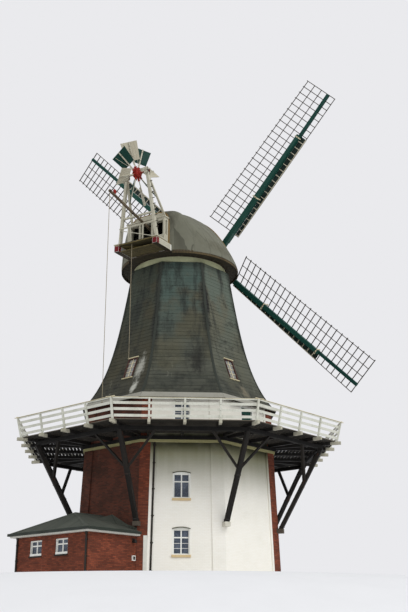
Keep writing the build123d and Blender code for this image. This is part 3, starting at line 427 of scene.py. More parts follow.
def paintFinish(name, colour, worn, dirt, wear=0.3, roughness=0.5, grain=(24.0, 24.0, 4.8)):
    spot = startFinish(name, roughness)[0]
    mixed, relief = paintTones(spot, colour, worn, dirt, wear, grain)
    return endFinish(mixed, noise(spot, 1.1, 4.0), roughness - 0.08, roughness + 0.2, relief, 0.25, 0.004)


def twoPaints(name, mask, first, second, roughness=0.6):  # a second paint where the mask says so
    spot, facing = startFinish(name, roughness)
    one, grain = paintTones(spot, *first)
    colour = mixTone(mask(spot, facing), one, paintTones(spot, *second)[0])
    return endFinish(colour, noise(spot, 1.1, 4.0), roughness - 0.1, roughness + 0.2, grain, 0.3, 0.004)


def pastTheBeam(spot, facing):  # the joist ends that stick out past the ring beam
    most = 0.0
    for way in outOf[:4]:
        most = sum2("MAXIMUM", most, sum2("ABSOLUTE", vectorSum("DOT_PRODUCT", spot, way)))
    return ramp(most, 7.94, 7.96)


def limedCorner(spot, facing):  # the corner between the two lime washed faces
    return ramp(vectorSum("DOT_PRODUCT", spot, cornerOf[0]), 5.2, 5.3)


def facingDown(spot, facing):
    return ramp(heightOf(facing), -0.7, -0.5, 1.0, 0.0)


def onTheSmock(spot, facing):
    return ramp(heightOf(spot), 9.89, 9.91)


sail = {"clamps": ((4.9, 0.36, 0.50, -0.13), (9.35, 0.27, 0.40, -0.09)),  # radius, width, depth and middle
        "clampWidth": 0.07, "bolts": (2.6, 6.2, 7.4, 8.4), "boardEnd": 9.5}


def armFinish(name, number):  # green on the whip, cream on the leading bars, dark on the others
    spot = startFinish(name, 0.55)[0]
    offset = vectorSum("SUBTRACT", spot, sailHub)
    radius, across = (vectorSum("DOT_PRODUCT", offset, way) for way in armVectors(number))
    green, grain = paintTones(spot, (3, 60, 51), (40, 68, 58), (5, 42, 37), 0.3)
    cream = paintTones(spot, (206, 198, 176), (120, 104, 84), (150, 138, 112), 0.5)[0]
    dark = paintTones(spot, (56, 49, 38), (96, 86, 68), (36, 31, 24), 0.4)[0]
    cream = mixTone(ramp(radius, sail["boardEnd"], sail["boardEnd"] + 0.02), cream, dark)
    colour = mixTone(ramp(across, 0.095, 0.1), mixTone(ramp(across, -0.1, -0.095), dark, green), cream)
    return endFinish(colour, noise(spot, 1.1, 4.0), 0.6, 0.85, grain, 0.3, 0.004)


def feltFinish(name, base, pale, dark, strip, stains=()):
    spot, facing = startFinish(name, 0.9)
    wall, run = wallVector(spot, facing)[:2]
    count = sum2("DIVIDE", run, strip)
    lap = ramp(sum2("FRACT", count), 0.02, 0.09, 1.0, 0.0)
    grit, runs = noise(spot, 60.0, 2.0), noise(wall, (4.0, 0.3, 1.0), 4.0)
    colour = mixTone(times(chanceOf(sum2("FLOOR", count)), 0.35), base, pale)
    colour = layers(colour, (noise(spot, 0.8, 5.0), 0.42, 0.72, 0.4, dark), (runs, 0.52, 0.75, 0.35, dark),
                    (grit, 0.4, 0.8, 0.25, pale))
    for row in stains:
        colour = stain(spot, colour, *row)
    seam = [part * 0.55 for part in tone(dark)[:3]] + [1.0]
    return endFinish(mixTone(times(lap, 0.6), colour, seam), grit, 0.82, 0.97, less(grit, lap), 0.4, 0.005)


def metalFinish(name, colour, rust, metallic=0.6, roughness=0.45):
    spot = startFinish(name, roughness, metallic)[0]
    patches, fine = noise(spot, 3.0, 5.0, 0.65), noise(spot, 45.0)
    colour = layers(colour, (patches, 0.5, 0.68, 0.75, rust), (fine, 0.4, 0.75, 0.3, (40, 34, 30)))
    return endFinish(colour, patches, roughness, roughness + 0.35, fine, 0.25, 0.003)


def glassFinish(name, colour, high):  # dark panes below, pale panes on the smock as painted sky reflection
    spot, facing = startFinish(name, 0.12, 0.0, 0.6)
    # bluish ripples on the panes are painted reflection; the same ripple also bumps the glass
    rippleAndReflection, dust = noise(spot, 2.2, 2.0), noise(spot, 14.0, 4.0)
    colour = layers(mixTone(onTheSmock(spot, facing), colour, high), (rippleAndReflection, 0.4, 0.65, 0.35, (112, 122, 140)),
                    (dust, 0.6, 0.8, 0.25, (150, 150, 142)))
    return endFinish(colour, dust, 0.12, 0.35, rippleAndReflection, 0.08, 0.01)


def ropeFinish(name, pale, dark):
    spot = startFinish(name, 0.85)[0]
    lay = put("TexWave", {"Vector": spot, "Scale": 9.0, "Distortion": 1.0, "Detail": 2.0},
              wave_type="BANDS", bands_direction="DIAGONAL").outputs["Fac"]
    grime = noise(spot, 3.0, 4.0)
    colour = layers(mixTone(lay, dark, pale), (grime, 0.45, 0.75, 0.5, (92, 82, 64)))
    return endFinish(colour, grime, 0.75, 0.95, lay, 0.6, 0.003)


finishRows = {
    brickFinish: {"brick": ("tower", 0.5), "annexBrick": ("annex", 0.3)},
    limeFinish: {"lime": (-alongOf[0],), "limeRight": (alongOf[1],)},
    smockFinish: {"smock": ()},
    boardFinish: {  # base, pale, deep, width of a board, how streaked
        "oldWood": ((78, 66, 54), (112, 100, 84), (42, 36, 30), 0.2),
        # darkWood: tarred wood, made darker still as painted shade meant for the struts under the gallery
        "darkWood": ((27, 24, 20), (46, 40, 33), (13, 12, 10), 0.24),
        "deckWood": ((92, 84, 72), (128, 120, 104), (52, 46, 38), 0.18, 0.25),
        "stageWood": ((140, 124, 74), (172, 156, 102), (80, 68, 38), 0.2),
        "poleWood": ((86, 72, 54), (124, 110, 88), (46, 36, 26), 0.2),
        "eaveWood": ((74, 62, 38), (112, 96, 62), (34, 28, 18), 0.19),
        # soffit: near black boards, painted shade under the gallery deck
        "soffit": ((13, 12, 10), (26, 23, 19), (7, 6, 5), 0.19, 0.2)},
    paintFinish: {  # paint, worn spots, dirt, how worn, how rough
        "white": ((224, 223, 213), (150, 140, 124), (168, 164, 146), 0.5),
        "railWhite": ((212, 212, 200), (140, 130, 108), (150, 148, 126), 0.6, 0.55),
        "weathered": ((190, 186, 168), (112, 96, 72), (126, 116, 92), 0.65, 0.6),
        "bladeWhite": ((192, 186, 166), (120, 108, 86), (140, 130, 106), 0.5, 0.6),
        # hood: a lead strip over each window, its dark tone partly lead and partly painted shadow under the arch
        "hood": ((84, 84, 62), (120, 118, 96), (58, 58, 42), 0.4, 0.8),
        "cornice": ((166, 160, 114), (120, 110, 76), (126, 122, 78), 0.5, 0.7),
        "windowBoard": ((206, 196, 160), (110, 98, 76), (150, 140, 108), 0.5, 0.6),
        "gutter": ((34, 42, 34), (66, 66, 56), (22, 26, 22), 0.4),
        "cream": ((222, 212, 180), (140, 122, 92), (176, 164, 130), 0.4),
        "green": ((4, 66, 55), (54, 80, 68), (8, 46, 40), 0.35, 0.6),
        "crimson": ((108, 8, 18), (76, 24, 24), (70, 12, 16), 0.4, 0.6),
        "fanGreen": ((3, 54, 45), (40, 70, 60), (6, 38, 33), 0.35, 0.7),
        # leading boards: their green darkened to near black as painted shade on the shaded rear side
        "blackGreen": ((20, 38, 34), (60, 66, 60), (14, 24, 22)),
        "stone": ((150, 146, 136), (112, 108, 98), (120, 116, 104), 0.5, 0.85, (12.0, 12.0, 12.0)),
        "sill": ((214, 190, 146), (150, 126, 88), (176, 150, 108), 0.4, 0.7),
        "skirt": ((150, 148, 138), (112, 108, 98), (112, 110, 100), 0.5, 0.8),
        "verge": ((138, 112, 68), (98, 80, 52), (100, 84, 56), 0.5, 0.75),
        "curb": ((184, 186, 148), (104, 98, 72), (110, 110, 80), 0.4)},
    twoPaints: {  # mask, then both paints
        "footStone": (limedCorner, ((84, 76, 66), (60, 54, 46), (54, 50, 42), 0.6),
                      ((206, 202, 188), (120, 114, 98), (140, 136, 116), 0.6), 0.85),
        # joists: the inner part near black, partly its own dark wood and partly painted shade under the deck; white
        # where they stick out
        "joists": (pastTheBeam, ((24, 21, 18), (44, 38, 32), (14, 12, 10)),
                   ((178, 174, 156), (86, 64, 48), (104, 100, 78), 0.8)),
        "frames": (onTheSmock, ((242, 242, 236), (160, 150, 136), (204, 202, 190)),
                   ((70, 40, 33), (130, 118, 104), (46, 30, 26), 0.5)),
        # deck: weathered planks on top; near black where they face down, as painted shade under the deck
        "deck": (facingDown, ((100, 92, 80), (132, 126, 112), (64, 58, 48), 0.4),
                 ((10, 9, 7), (24, 21, 17), (6, 5, 4), 0.2), 0.8),
        "stageWhite": (facingDown, ((222, 221, 214), (150, 140, 124), (176, 172, 158), 0.5),
                       ((58, 50, 36), (84, 74, 58), (36, 30, 22)))},
    feltFinish: {  # base, pale, dark, width of a strip, stains
        "roofFelt": ((109, 109, 95), (128, 127, 113), (80, 79, 66), 0.8, (
            (capPoint(-2.9, 1.1, 20.0), (0.7, 0.7, 1.3), (60, 57, 46), 0.7),
            (capPoint(-0.6, 2.6, 18.6), (1.2, 1.2, 0.7), (78, 74, 58), 0.6),
            (capPoint(1.2, -2.2, 19.6), (1.0, 1.0, 1.4), (76, 76, 64), 0.6))),
        "annexFelt": ((72, 76, 68), (90, 94, 84), (50, 54, 48), 0.9),
        "cornerFelt": ((46, 50, 44), (66, 70, 62), (28, 31, 27), 9.0)},
    metalFinish: {  # metal, rust, how metallic, how rough
        "iron": ((48, 46, 44), (92, 58, 40)),
        "redIron": ((150, 34, 26), (96, 44, 30), 0.1, 0.5),
        "pipe": ((50, 46, 42), (76, 66, 56), 0.4, 0.55)},
    # the second colour is the pale painted sky reflection on the smock's panes
    glassFinish: {"glass": ((42, 54, 70), (134, 132, 124))},
    armFinish: {"arm" + str(number + 1): (number,) for number in range(4)},
    ropeFinish: {"rope": ((170, 160, 136), (112, 100, 78))},
}
finishes = {key: make(key, *row) for make, rows in finishRows.items() for key, row in rows.items()}
print("finishes made:", len(finishes))

dressing = {  # the solids that wear each finish
    "lime": "wall_front", "limeRight": "wall_front_right", "glass": "window_glass", "sill": "window_sills",
    "brick": "wall_front_left wall_right wall_back_right wall_back wall_back_left wall_left",
    "smock": "smock_shell smock_window_panels", "stone": "ground_floor", "deckWood": "upper_floors",
    "frames": "window_frames", "green": "gallery_door entrance_door stock_outer stock_inner",
    "joists": "gallery_joists", "soffit": "gallery_beams", "deck": "gallery_deck", "curb": "curb",
    "darkWood": "gallery_struts cap_beams", "railWhite": "gallery_railing", "footStone": "foot_stones",
    "pipe": "downpipes", "annexBrick": "annex_walls", "annexFelt": "annex_roof", "white": "annex_fascia",
    "oldWood": "cap_ring front_gable", "roofFelt": "cap_roof", "weathered": "rear_porch fan_frame fan_spars",
    "stageWhite": "stage_beams", "stageWood": "stage_floor", "poleWood": "brake_pole",
    "rope": "brake_rope hoist_rope", "redIron": "windshaft fan_hub", "arm1": "sail_lattice_1",
    "arm2": "sail_lattice_2", "arm3": "sail_lattice_3", "arm4": "sail_lattice_4",
    "blackGreen": "leading_boards", "bladeWhite": "fan_blades_white", "fanGreen": "fan_blades_green",
}
for key, dressed in dressing.items():
    for node in dressed.split():
        materials = nodes[node].data.materials
        materials.clear()
        materials.append(finishes[key])
print("solids dressed:", len(nodes))


# smock covering

smockWindow = {"low": 10.62, "rise": 1.18, "shift": {1: -0.25, 3: 0.25, 5: -0.25, 7: 0.25}, "bar": 0.022,
               "barHalf": 0.29, "bars": (0.3, 0.54, 0.77), "head": 0.05, "headHalf": 0.40}


def makeSmockBoards():  # lapped boards on the eight faces, cut round the windows
    mesh = bmesh.new()
    chance = random.Random(11)
    for face in range(8):
        height = smockCover["low"]
        while height < smockCover["high"] - 0.02:
            top = min(height + smockCover["course"] + smockCover["overlap"], smockCover["high"])
            half = smockHalf(height) - smockCover["cornerGap"]
            narrow = (smockHalf(top) - smockCover["cornerGap"]) / half
            cut = half * chance.uniform(-0.75, 0.75)
            pieces = [(-half, cut), (cut, half)]
            shift = smockWindow["shift"].get(face)
            if shift is not None and height < smockCover["windowHigh"] and top > smockCover["windowLow"]:
                low, high = shift - smockCover["windowHalf"], shift + smockCover["windowHalf"]
                pieces = [part for a, b in pieces for part in ((a, min(b, low)), (max(a, high), b))]
            for p, q in pieces:
                if q - p < 0.03:
                    continue  # too short to be a board
                p, q = p + smockCover["gap"] / 2, q - smockCover["gap"] / 2
                topLeft = p * narrow if p <= 0.02 - half else p
                topRight = q * narrow if q >= half - 0.02 else q
                lap = smockCover["lap"] * chance.uniform(0.55, 1.15)
                addRun(mesh, [[smockPoint(face, along, level, out) for along, level, out in (
                    (p, height, foot), (q, height, foot), (topRight, top, head), (topLeft, top, head))]
                    for foot, head in ((-0.01, -0.01), (lap, smockCover["edge"]))])
            height += smockCover["course"]
    finishPiece(mesh, "smockBoards", "smock", "tower")


def makeCornerStrips():  # folded felt strips over the eight corners
    mesh = bmesh.new()
    low, high, steps, width = (smockCover["corner" + key] for key in ("Low", "High", "Steps", "Width"))
    thick = smockCover["lap"] + smockCover["cornerThick"]
    for face in range(8):
        after, rings = (face + 1) % 8, []
        for n in range(steps + 1):
            height = low + (high - low) * (n / steps) ** 1.25  # closer together where the smock flares
            edge = smockHalf(height) - width
            corner = cornerOf[face] * smockRadius(height) + upward * height
            rings.append([smockPoint(face, edge, height), smockPoint(face, edge, height, thick),
                          corner + cornerOf[face] * thick * 1.08, smockPoint(after, -edge, height, thick),
                          smockPoint(after, -edge, height), corner])
        addRun(mesh, rings)
    finishPiece(mesh, "cornerStrips", "cornerFelt", "tower")


def makeSkirtBoards():  # pale boards round the foot of the smock
    mesh = bmesh.new()
    for face in range(8):
        for low, high, thick in smockCover["skirt"]:
            a, b = smockHalf(low) + 0.01, smockHalf(high) + 0.01
            loop = [smockPoint(face, *spot) for spot in ((-a, low), (a, low), (b, high), (-b, high))]
            addPrism(mesh, loop, outOf[face] * thick)
    finishPiece(mesh, "skirtBoards", "skirt", "tower", 0.004)


makeSmockBoards()
makeCornerStrips()
makeSkirtBoards()
print("smock covered")


# gallery

gallery = {"plank": 0.19, "gap": 0.042, "wallGap": 0.02}


def makeDeckPlanks():  # planks with mitred ends, laid round the tower
    mesh = bmesh.new()
    low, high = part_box("gallery_deck")
    chance = random.Random(5)
    for face in range(8):
        reach = wallApothem(high.z) + gallery["wallGap"]
        while reach < high.y - 0.02:
            edge = min(reach + gallery["plank"], high.y)
            last = edge - gallery["gap"] if edge < high.y else edge
            loop = [facePoint(face, sign * (out * cornerSlope - 0.004), out, low.z)
                    for out, sign in ((reach, -1), (last, -1), (last, 1), (reach, 1))]
            addPrism(mesh, loop, upward * (high.z - low.z - chance.uniform(0.0, 0.004)))
            reach = edge
    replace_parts(finishPiece(mesh, "deckPlanks", "deck", "tower", 0.003), "gallery_deck")


makeDeckPlanks()
print("gallery boarded")


# cap covering

capCover = {
    "sections": ((-3.2, 20.42, 6.0), (-2.3, 20.9, 2.1), (-1.3, 21.4, 1.38), (0.0, 21.74, 1.3), (1.3, 22.0, 1.25),
                 (2.4, 22.0, 1.42)),  # place, ridge height and fullness
    "end": 2.43, "base": 17.97, "eave": 3.42, "skin": 0.035, "strip": 0.82, "lap": 0.012, "around": 56,
    "verges": ((2.44, 0.10, 0.10), (-3.17, 0.09, 0.055)),  # place, width and lift of the boards at both ends
    "ridge": (-3.1, 2.3), "ridgeSteps": 40, "ridgeRoll": 0.035, "eaveBoards": 120, "eaveReach": 3.43,
    "eaveLow": 17.83, "eaveRise": 0.2, "soffitBoards": 110, "soffit": (2.76, 3.40), "soffitHeight": 17.935,
}


def roofShape(ahead):  # ridge height and fullness between the measured sections
    sections = capCover["sections"]
    ahead = min(max(ahead, sections[0][0]), sections[-1][0])
    n = next(n for n in range(len(sections) - 1) if ahead <= sections[n + 1][0])
    before, first, second = sections[max(n - 1, 0)], sections[n], sections[n + 1]
    after = sections[min(n + 2, len(sections) - 1)]
    span = second[0] - first[0]
    h = (ahead - first[0]) / span
    made = []
    for k in (1, 2):
        slopeA = (second[k] - before[k]) / (second[0] - before[0]) * span * (2.2 if n == 0 and k == 2 else 1.0)
        slopeB = (after[k] - first[k]) / (after[0] - first[0]) * span
        curved = ((2 * h ** 3 - 3 * h ** 2 + 1) * first[k] + (h ** 3 - 2 * h ** 2 + h) * slopeA
                  + (3 * h ** 2 - 2 * h ** 3) * second[k] + (h ** 3 - h ** 2) * slopeB)
        made.append(max(curved, first[k] + (second[k] - first[k]) * h))
    return made


def roofPoint(ahead, share, lift):  # share runs from the right eave over the ridge to the left
    ridge, fullness = roofShape(ahead)
    across, up = math.cos(math.pi * share), max(math.sin(math.pi * share), 0.0)
    reach = math.sqrt(capCover["eave"] ** 2 - ahead ** 2)
    side = math.copysign(abs(across) ** (2 / fullness), across) * (reach + lift)
    return capPoint(ahead, side, capCover["base"] + up ** (2 / fullness) * (ridge - capCover["base"] + lift))


def roofArch(ahead, lift):
    return [roofPoint(ahead, n / capCover["around"], lift) for n in range(capCover["around"] + 1)]


def makeRoofSkin():  # felt laid in strips across the cap, each lapped over the next
    mesh = bmesh.new()
    start = capCover["sections"][0][0]
    strips = round((capCover["end"] - start) / capCover["strip"])
    wide = (capCover["end"] - start) / strips
    for strip in range(strips):
        first = start + wide * strip
        rings = [roofArch(first + wide * step / 6, capCover["skin"] + capCover["lap"] * (1 - step / 6))
                 for step in range(7)]
        addRun(mesh, [roofArch(first, 0.0)] + rings, capped=False, looped=False)
    finishPiece(mesh, "roofStrips", "roofFelt", "cap", 0.0, True)


def makeRoofEdges():  # boards at both ends, ridge roll and the eave fillet
    verge, ridge, eave = newMeshes(3)
    for place, width, lift in capCover["verges"]:
        end = min(place, 2.4)
        push = [forward * (place - end + side * width / 2) for side in (-1, 1)]
        addRun(verge, [[inner + push[0], outer + push[0], outer + push[1], inner + push[1]]
                       for inner, outer in zip(roofArch(end, -0.09), roofArch(end, lift))], capped=False)
    (start, end), steps = capCover["ridge"], capCover["ridgeSteps"]
    tops = [roofPoint(start + (end - start) * n / steps, 0.5, 0.045) for n in range(steps + 1)]
    for first, last in zip(tops, tops[1:]):
        addRound(ridge, first, last, capCover["ridgeRoll"], 10)
    count, radius = capCover["eaveBoards"], capCover["eaveReach"]
    half = math.pi * radius / count - 0.006
    for n in range(count):
        turn = 2 * math.pi * n / count
        radial = turned(forward, rightward, turn)
        if math.cos(turn) < -3.15 / radius or abs(math.sin(turn)) < 0.43 and math.cos(turn) < 0:
            continue  # open where the porch and the stage are
        loop = [radial * (radius + out) + upward.cross(radial) * along + upward * capCover["eaveLow"]
                for along, out in boxLoop(-half, half, -0.012, 0.014)]
        addPrism(eave, loop, upward * capCover["eaveRise"])
    finishPiece(verge, "vergeBoards", "verge", "cap")
    finishPiece(ridge, "ridgeRoll", "roofFelt", "cap")
    finishPiece(eave, "eaveBoards", "eaveWood", "cap", 0.003)


def makeSoffitBoards():  # boards under the eave, running out from the curb
    mesh = bmesh.new()
    count, (inner, outer) = capCover["soffitBoards"], capCover["soffit"]
    for n in range(count):
        radial = turned(Vector((1, 0, 0)), Vector((0, 1, 0)), 2 * math.pi * n / count)
        height = capCover["soffitHeight"] - 0.004 * (n % 3)
        loop = [radial * out + upward.cross(radial) * side * (math.pi * out / count - 0.004) + upward * height
                for out, side in ((inner, -1), (outer, -1), (outer, 1), (inner, 1))]
        addPrism(mesh, loop, upward * 0.012)
    finishPiece(mesh, "soffitBoards", "eaveWood", "cap", 0.002)


makeRoofSkin()
makeRoofEdges()
makeSoffitBoards()
print("cap covered")


# stage behind the cap

stage = {"rear": -4.57, "floor": 18.37, "beamSide": 1.29, "beamWidth": 0.30, "railHeight": 0.95, "peg": 0.022,
         "redLength": 0.2, "boards": (17.975, 18.09, 18.205), "boardRise": 0.106, "boardEnd": -3.25, "planks": 12,
         "plankStep": 0.1125, "posts": ((-1.12, -4.5), (-0.4, -4.52), (0.45, -4.52)), "pegs": 9, "pegStep": 0.085}


def makeStageTrim():  # red beam ends, boards along the beams, floor planks and the rail
    red, white, cover = newMeshes(3)
    half, rear = stage["beamWidth"] / 2, stage["rear"]
    for sign in (-1, 1):
        side = sign * stage["beamSide"]
        for start, low, high, wide, push in ((rear - 0.002, 17.985, 18.295, half - 0.02, -0.012),
                                             (rear, 17.972, 17.985, half + 0.006, stage["redLength"]),
                                             (rear, 17.985, 18.30, half + 0.006, stage["redLength"])):
            loop = [capPoint(start, side + a, z) for a, z in boxLoop(-wide, wide, low, high)]
            addPrism(red, loop, forward * push)  # the end, and the paint round the beam
        for low in stage["boards"]:
            loop = [capPoint(ahead, side + sign * (half + 0.001), z) for ahead, z in boxLoop(
                rear + stage["redLength"], stage["boardEnd"], low, low + stage["boardRise"])]
            addPrism(white, loop, rightward * sign * 0.022)
        addBar(white, capPoint(-4.62, side, 18.385), capPoint(-3.62, side, 18.385), 0.36, 0.045, upward)
        for across, height in ((-0.06, 18.2), (0.06, 18.06)):
            addBolt(red, capPoint(-4.584, side + across, height), -forward, 0.035, 0.02)
    for n in range(stage["planks"]):
        place = capPoint(-4.55 + n * stage["plankStep"], 0, 18.365)
        addSlat(cover, place, rightward * 1.12, 0.105, 0.02, upward)
    for side, ahead in stage["posts"]:
        foot = capPoint(ahead, side, stage["floor"])
        addBar(white, foot, foot + upward * stage["railHeight"], 0.06, 0.06, rightward)
    addBar(white, capPoint(-4.52, -1.16, 19.32), capPoint(-4.52, 1.12, 19.32), 0.06, 0.07, upward)
    addBar(white, capPoint(-4.54, -1.1, 19.22), capPoint(-4.54, 1.05, 18.45), 0.035, 0.05, forward)
    finishPiece(red, "beamEnds", "crimson", "cap", 0.003)
    finishPiece(white, "stageTrim", "weathered", "cap", 0.004)
    finishPiece(cover, "stagePlanks", "deckWood", "cap", 0.003)


def makePostPegs():  # climbing pegs on the right post of the fan
    mesh = bmesh.new()
    foot, head = capPoint(-4.3, 1.25, 18.36), capPoint(-4.58, 0.70, 22.5)
    for n in range(stage["pegs"]):
        spot = foot.lerp(head, 0.16 + stage["pegStep"] * n) + rightward * 0.07
        addRound(mesh, spot, spot + rightward * 0.17 - forward * 0.01, stage["peg"], 8)
    finishPiece(mesh, "climbingPegs", "iron", "cap")


makeStageTrim()
makePostPegs()
print("stage trimmed")


# fantail

fantail = {"slats": 5, "slatThick": 0.006, "seat": 0.025, "thick": 0.025, "start": 29, "pitch": -38,
           "root": (0.79, 0.80), "tip": (1.85, 1.02), "sockets": 0.42, "bolts": (1.0, 1.62)}  # ends: radius, width


def bladeVectors(number):  # along the blade, across it, and square to it
    turn, lean = math.radians(fantail["start"] + 45 * number), math.radians(fantail["pitch"])
    across = turned(upward, -forward, turn)
    return turned(forward, upward, turn), turned(across, rightward, lean), turned(rightward, -across, lean)


def makeFanHub():  # cast rosette with a socket for each spar
    mesh = bmesh.new()
    for side in (rightward, -rightward):
        addRound(mesh, fanHub + side * 0.10, fanHub + side * 0.165, 0.265, 32, 0.235)
        addRound(mesh, fanHub + side * 0.165, fanHub + side * 0.23, 0.12, 20, 0.10)
        for n in range(8):
            way = turned(forward, upward, math.radians(fantail["start"] + 22.5 + 45 * n))
            addBolt(mesh, fanHub + way * 0.2 + side * 0.165, side, 0.045, 0.03)
    for n in range(8):
        reach, chord, normal = bladeVectors(n)
        addBar(mesh, fanHub + reach * 0.2, fanHub + reach * fantail["sockets"], 0.13, 0.11, normal)
        addBar(mesh, fanHub + reach * 0.40, fanHub + reach * 0.435, 0.155, 0.135, normal)
        addBolt(mesh, fanHub + reach * 0.33 + normal * 0.055, normal, 0.03, 0.02)
    finishPiece(mesh, "fanRosette", "redIron", "fan", 0.004)


def makeBladeSlats():  # the blades are boarded on both sides, on the back of their spars
    white, green, stays, iron = newMeshes(4)
    seat, thick, slats = fantail["seat"], fantail["thick"], fantail["slats"]
    (root, narrow), (tip, wide) = fantail["root"], fantail["tip"]
    for n in range(8):
        reach, chord, normal = bladeVectors(n)
        for side, level in ((1, -seat), (-1, -seat - thick)):
            for k in range(slats):
                left, right = (-0.5 + (k + m) / slats for m in (0.03, 0.97))
                loop = [fanHub + reach * radius + chord * across + normal * level for radius, across in (
                    (root, left * narrow), (root, right * narrow), (tip, right * wide), (tip, left * wide))]
                addPrism(green if n % 2 else white, loop, normal * side * fantail["slatThick"])
        start = fanHub + reach * 0.50 - normal * (seat - 0.02) + chord * 0.03
        end = fanHub + reach * 1.78 + chord * 0.34 - normal * (seat - 0.012)
        addBar(stays, start, end, 0.02, 0.03, normal)
        for radius in fantail["bolts"]:
            addBolt(iron, fanHub + reach * radius + normal * seat, normal, 0.028, 0.02)
            addBolt(iron, fanHub + reach * radius - normal * (seat + thick + 0.005), -normal, 0.028, 0.02)
    finishPiece(white, "bladeSlatsWhite", "bladeWhite", "fan", 0.002)
    finishPiece(green, "bladeSlatsGreen", "fanGreen", "fan", 0.002)
    finishPiece(stays, "bladeStays", "weathered", "fan", 0.002)
    finishPiece(iron, "bladeBolts", "iron", "fan")


makeFanHub()
makeBladeSlats()
print("fantail finished")


# sails

def makeSailClamps():  # pale clamps that hold whip and stock together, with bolts
    white, iron = newMeshes(2)
    wide = sail["clampWidth"]
    for number in range(4):
        reach, side = armVectors(number)
        start = sailHub + shaftAxis * armShift(number)
        for radius, width, depth, middle in sail["clamps"]:
            centre = start + reach * radius + shaftAxis * middle
            for edge in (-1, 1):
                addSlat(white, centre + side * edge * width / 2, shaftAxis * depth / 2, wide, 0.03, side)
                addSlat(white, centre + shaftAxis * edge * depth / 2, side * (width / 2 + 0.03), wide, 0.03, shaftAxis)
                addBolt(iron, centre + side * edge * 0.08 - shaftAxis * (depth / 2 + 0.015), -shaftAxis, 0.035, 0.03)
        for radius in sail["bolts"]:
            addBolt(iron, start + reach * radius + shaftAxis * 0.09, shaftAxis, 0.05, 0.03)
    finishPiece(white, "sailClamps", "cream", "sails", 0.003)
    finishPiece(iron, "sailBolts", "iron", "sails")


makeSailClamps()
print("sails finished")


# ropes

brakeRope = {"top": (-4.0327, -6.0208, 20.2089), "foot": 8.6, "diameter": 0.030}
hoistRope = {"top": (-2.8170, -3.4477, 18.3103), "foot": 11.6, "diameter": 0.030}


def makeRope(name, diameter, places, closed=False):  # a hemp cord through a row of places
    curve = bpy.data.curves.new(name, "CURVE")
    curve.dimensions = "3D"
    curve.bevel_depth = diameter / 2
    curve.bevel_resolution = 3
    curve.use_fill_caps = not closed
    line = curve.splines.new("NURBS")
    line.points.add(len(places) - 1)
    for point, place in zip(line.points, places):
        point.co = (*place, 1.0)
    line.order_u = 3
    line.use_endpoint_u = not closed
    line.use_cyclic_u = closed
    curve.materials.append(finishes["rope"])
    made = bpy.data.objects.new(name, curve)
    addToScene(made)
    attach(made, "cap")
    return made


for name, rope, node in (("brakeRope", brakeRope, "brake_rope"), ("hoistRope", hoistRope, "hoist_rope")):
    x, y, z = rope["top"]
    length = z - rope["foot"]
    line = makeRope(name, rope["diameter"], [(x, y, z - length * n / 4) for n in range(5)])
    turns = [2 * math.pi * n / 24 for n in range(24)]
    knot = makeRope(name + "Knot", rope["diameter"], [(
        x + 0.011 * (math.sin(turn) + 2 * math.sin(2 * turn)), y + 0.011 * (math.cos(turn) - 2 * math.cos(2 * turn)),
        rope["foot"] - 0.014 * math.sin(3 * turn)) for turn in turns], closed=True)
    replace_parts(line, node)
print("ropes hung")


# windows and doors of the brick base

windowTrim = {
    "lowRows": (1.35, 4.07), "highRow": 7.90, "half": 0.41, "height": 1.27, "galleryHeight": 1.16, "rise": 0.06,
    "frame": 0.06, "bar": 0.018, "casing": 0.03, "arch": 0.49, "bricks": 13,
    "sillHalf": 0.465, "sillDrop": 0.13, "sillReach": 0.075, "hoodHalf": 0.45, "hood": 0.055, "hoodReach": 0.05,
}


def baseWindows():  # face, sill, height and arch rise of each window
    for face in (0, 2, 4, 6):
        for sill in windowTrim["lowRows"] if face < 4 else windowTrim["lowRows"][1:]:
            yield face, sill, windowTrim["height"], windowTrim["rise"]
        yield face, windowTrim["highRow"], windowTrim["galleryHeight"], 0.0


def panelPoint(face):  # a place on the recessed panel of a wall
    return lambda along, height, out: wallPoint(face, along, height, out - 0.06)


def openingLoop(half, low, top, rise):
    alongs = [half - half * n / 4 for n in range(9)]
    return [(-half, low), (half, low)] + [(along, top - rise * (along / half) ** 2) for along in alongs]


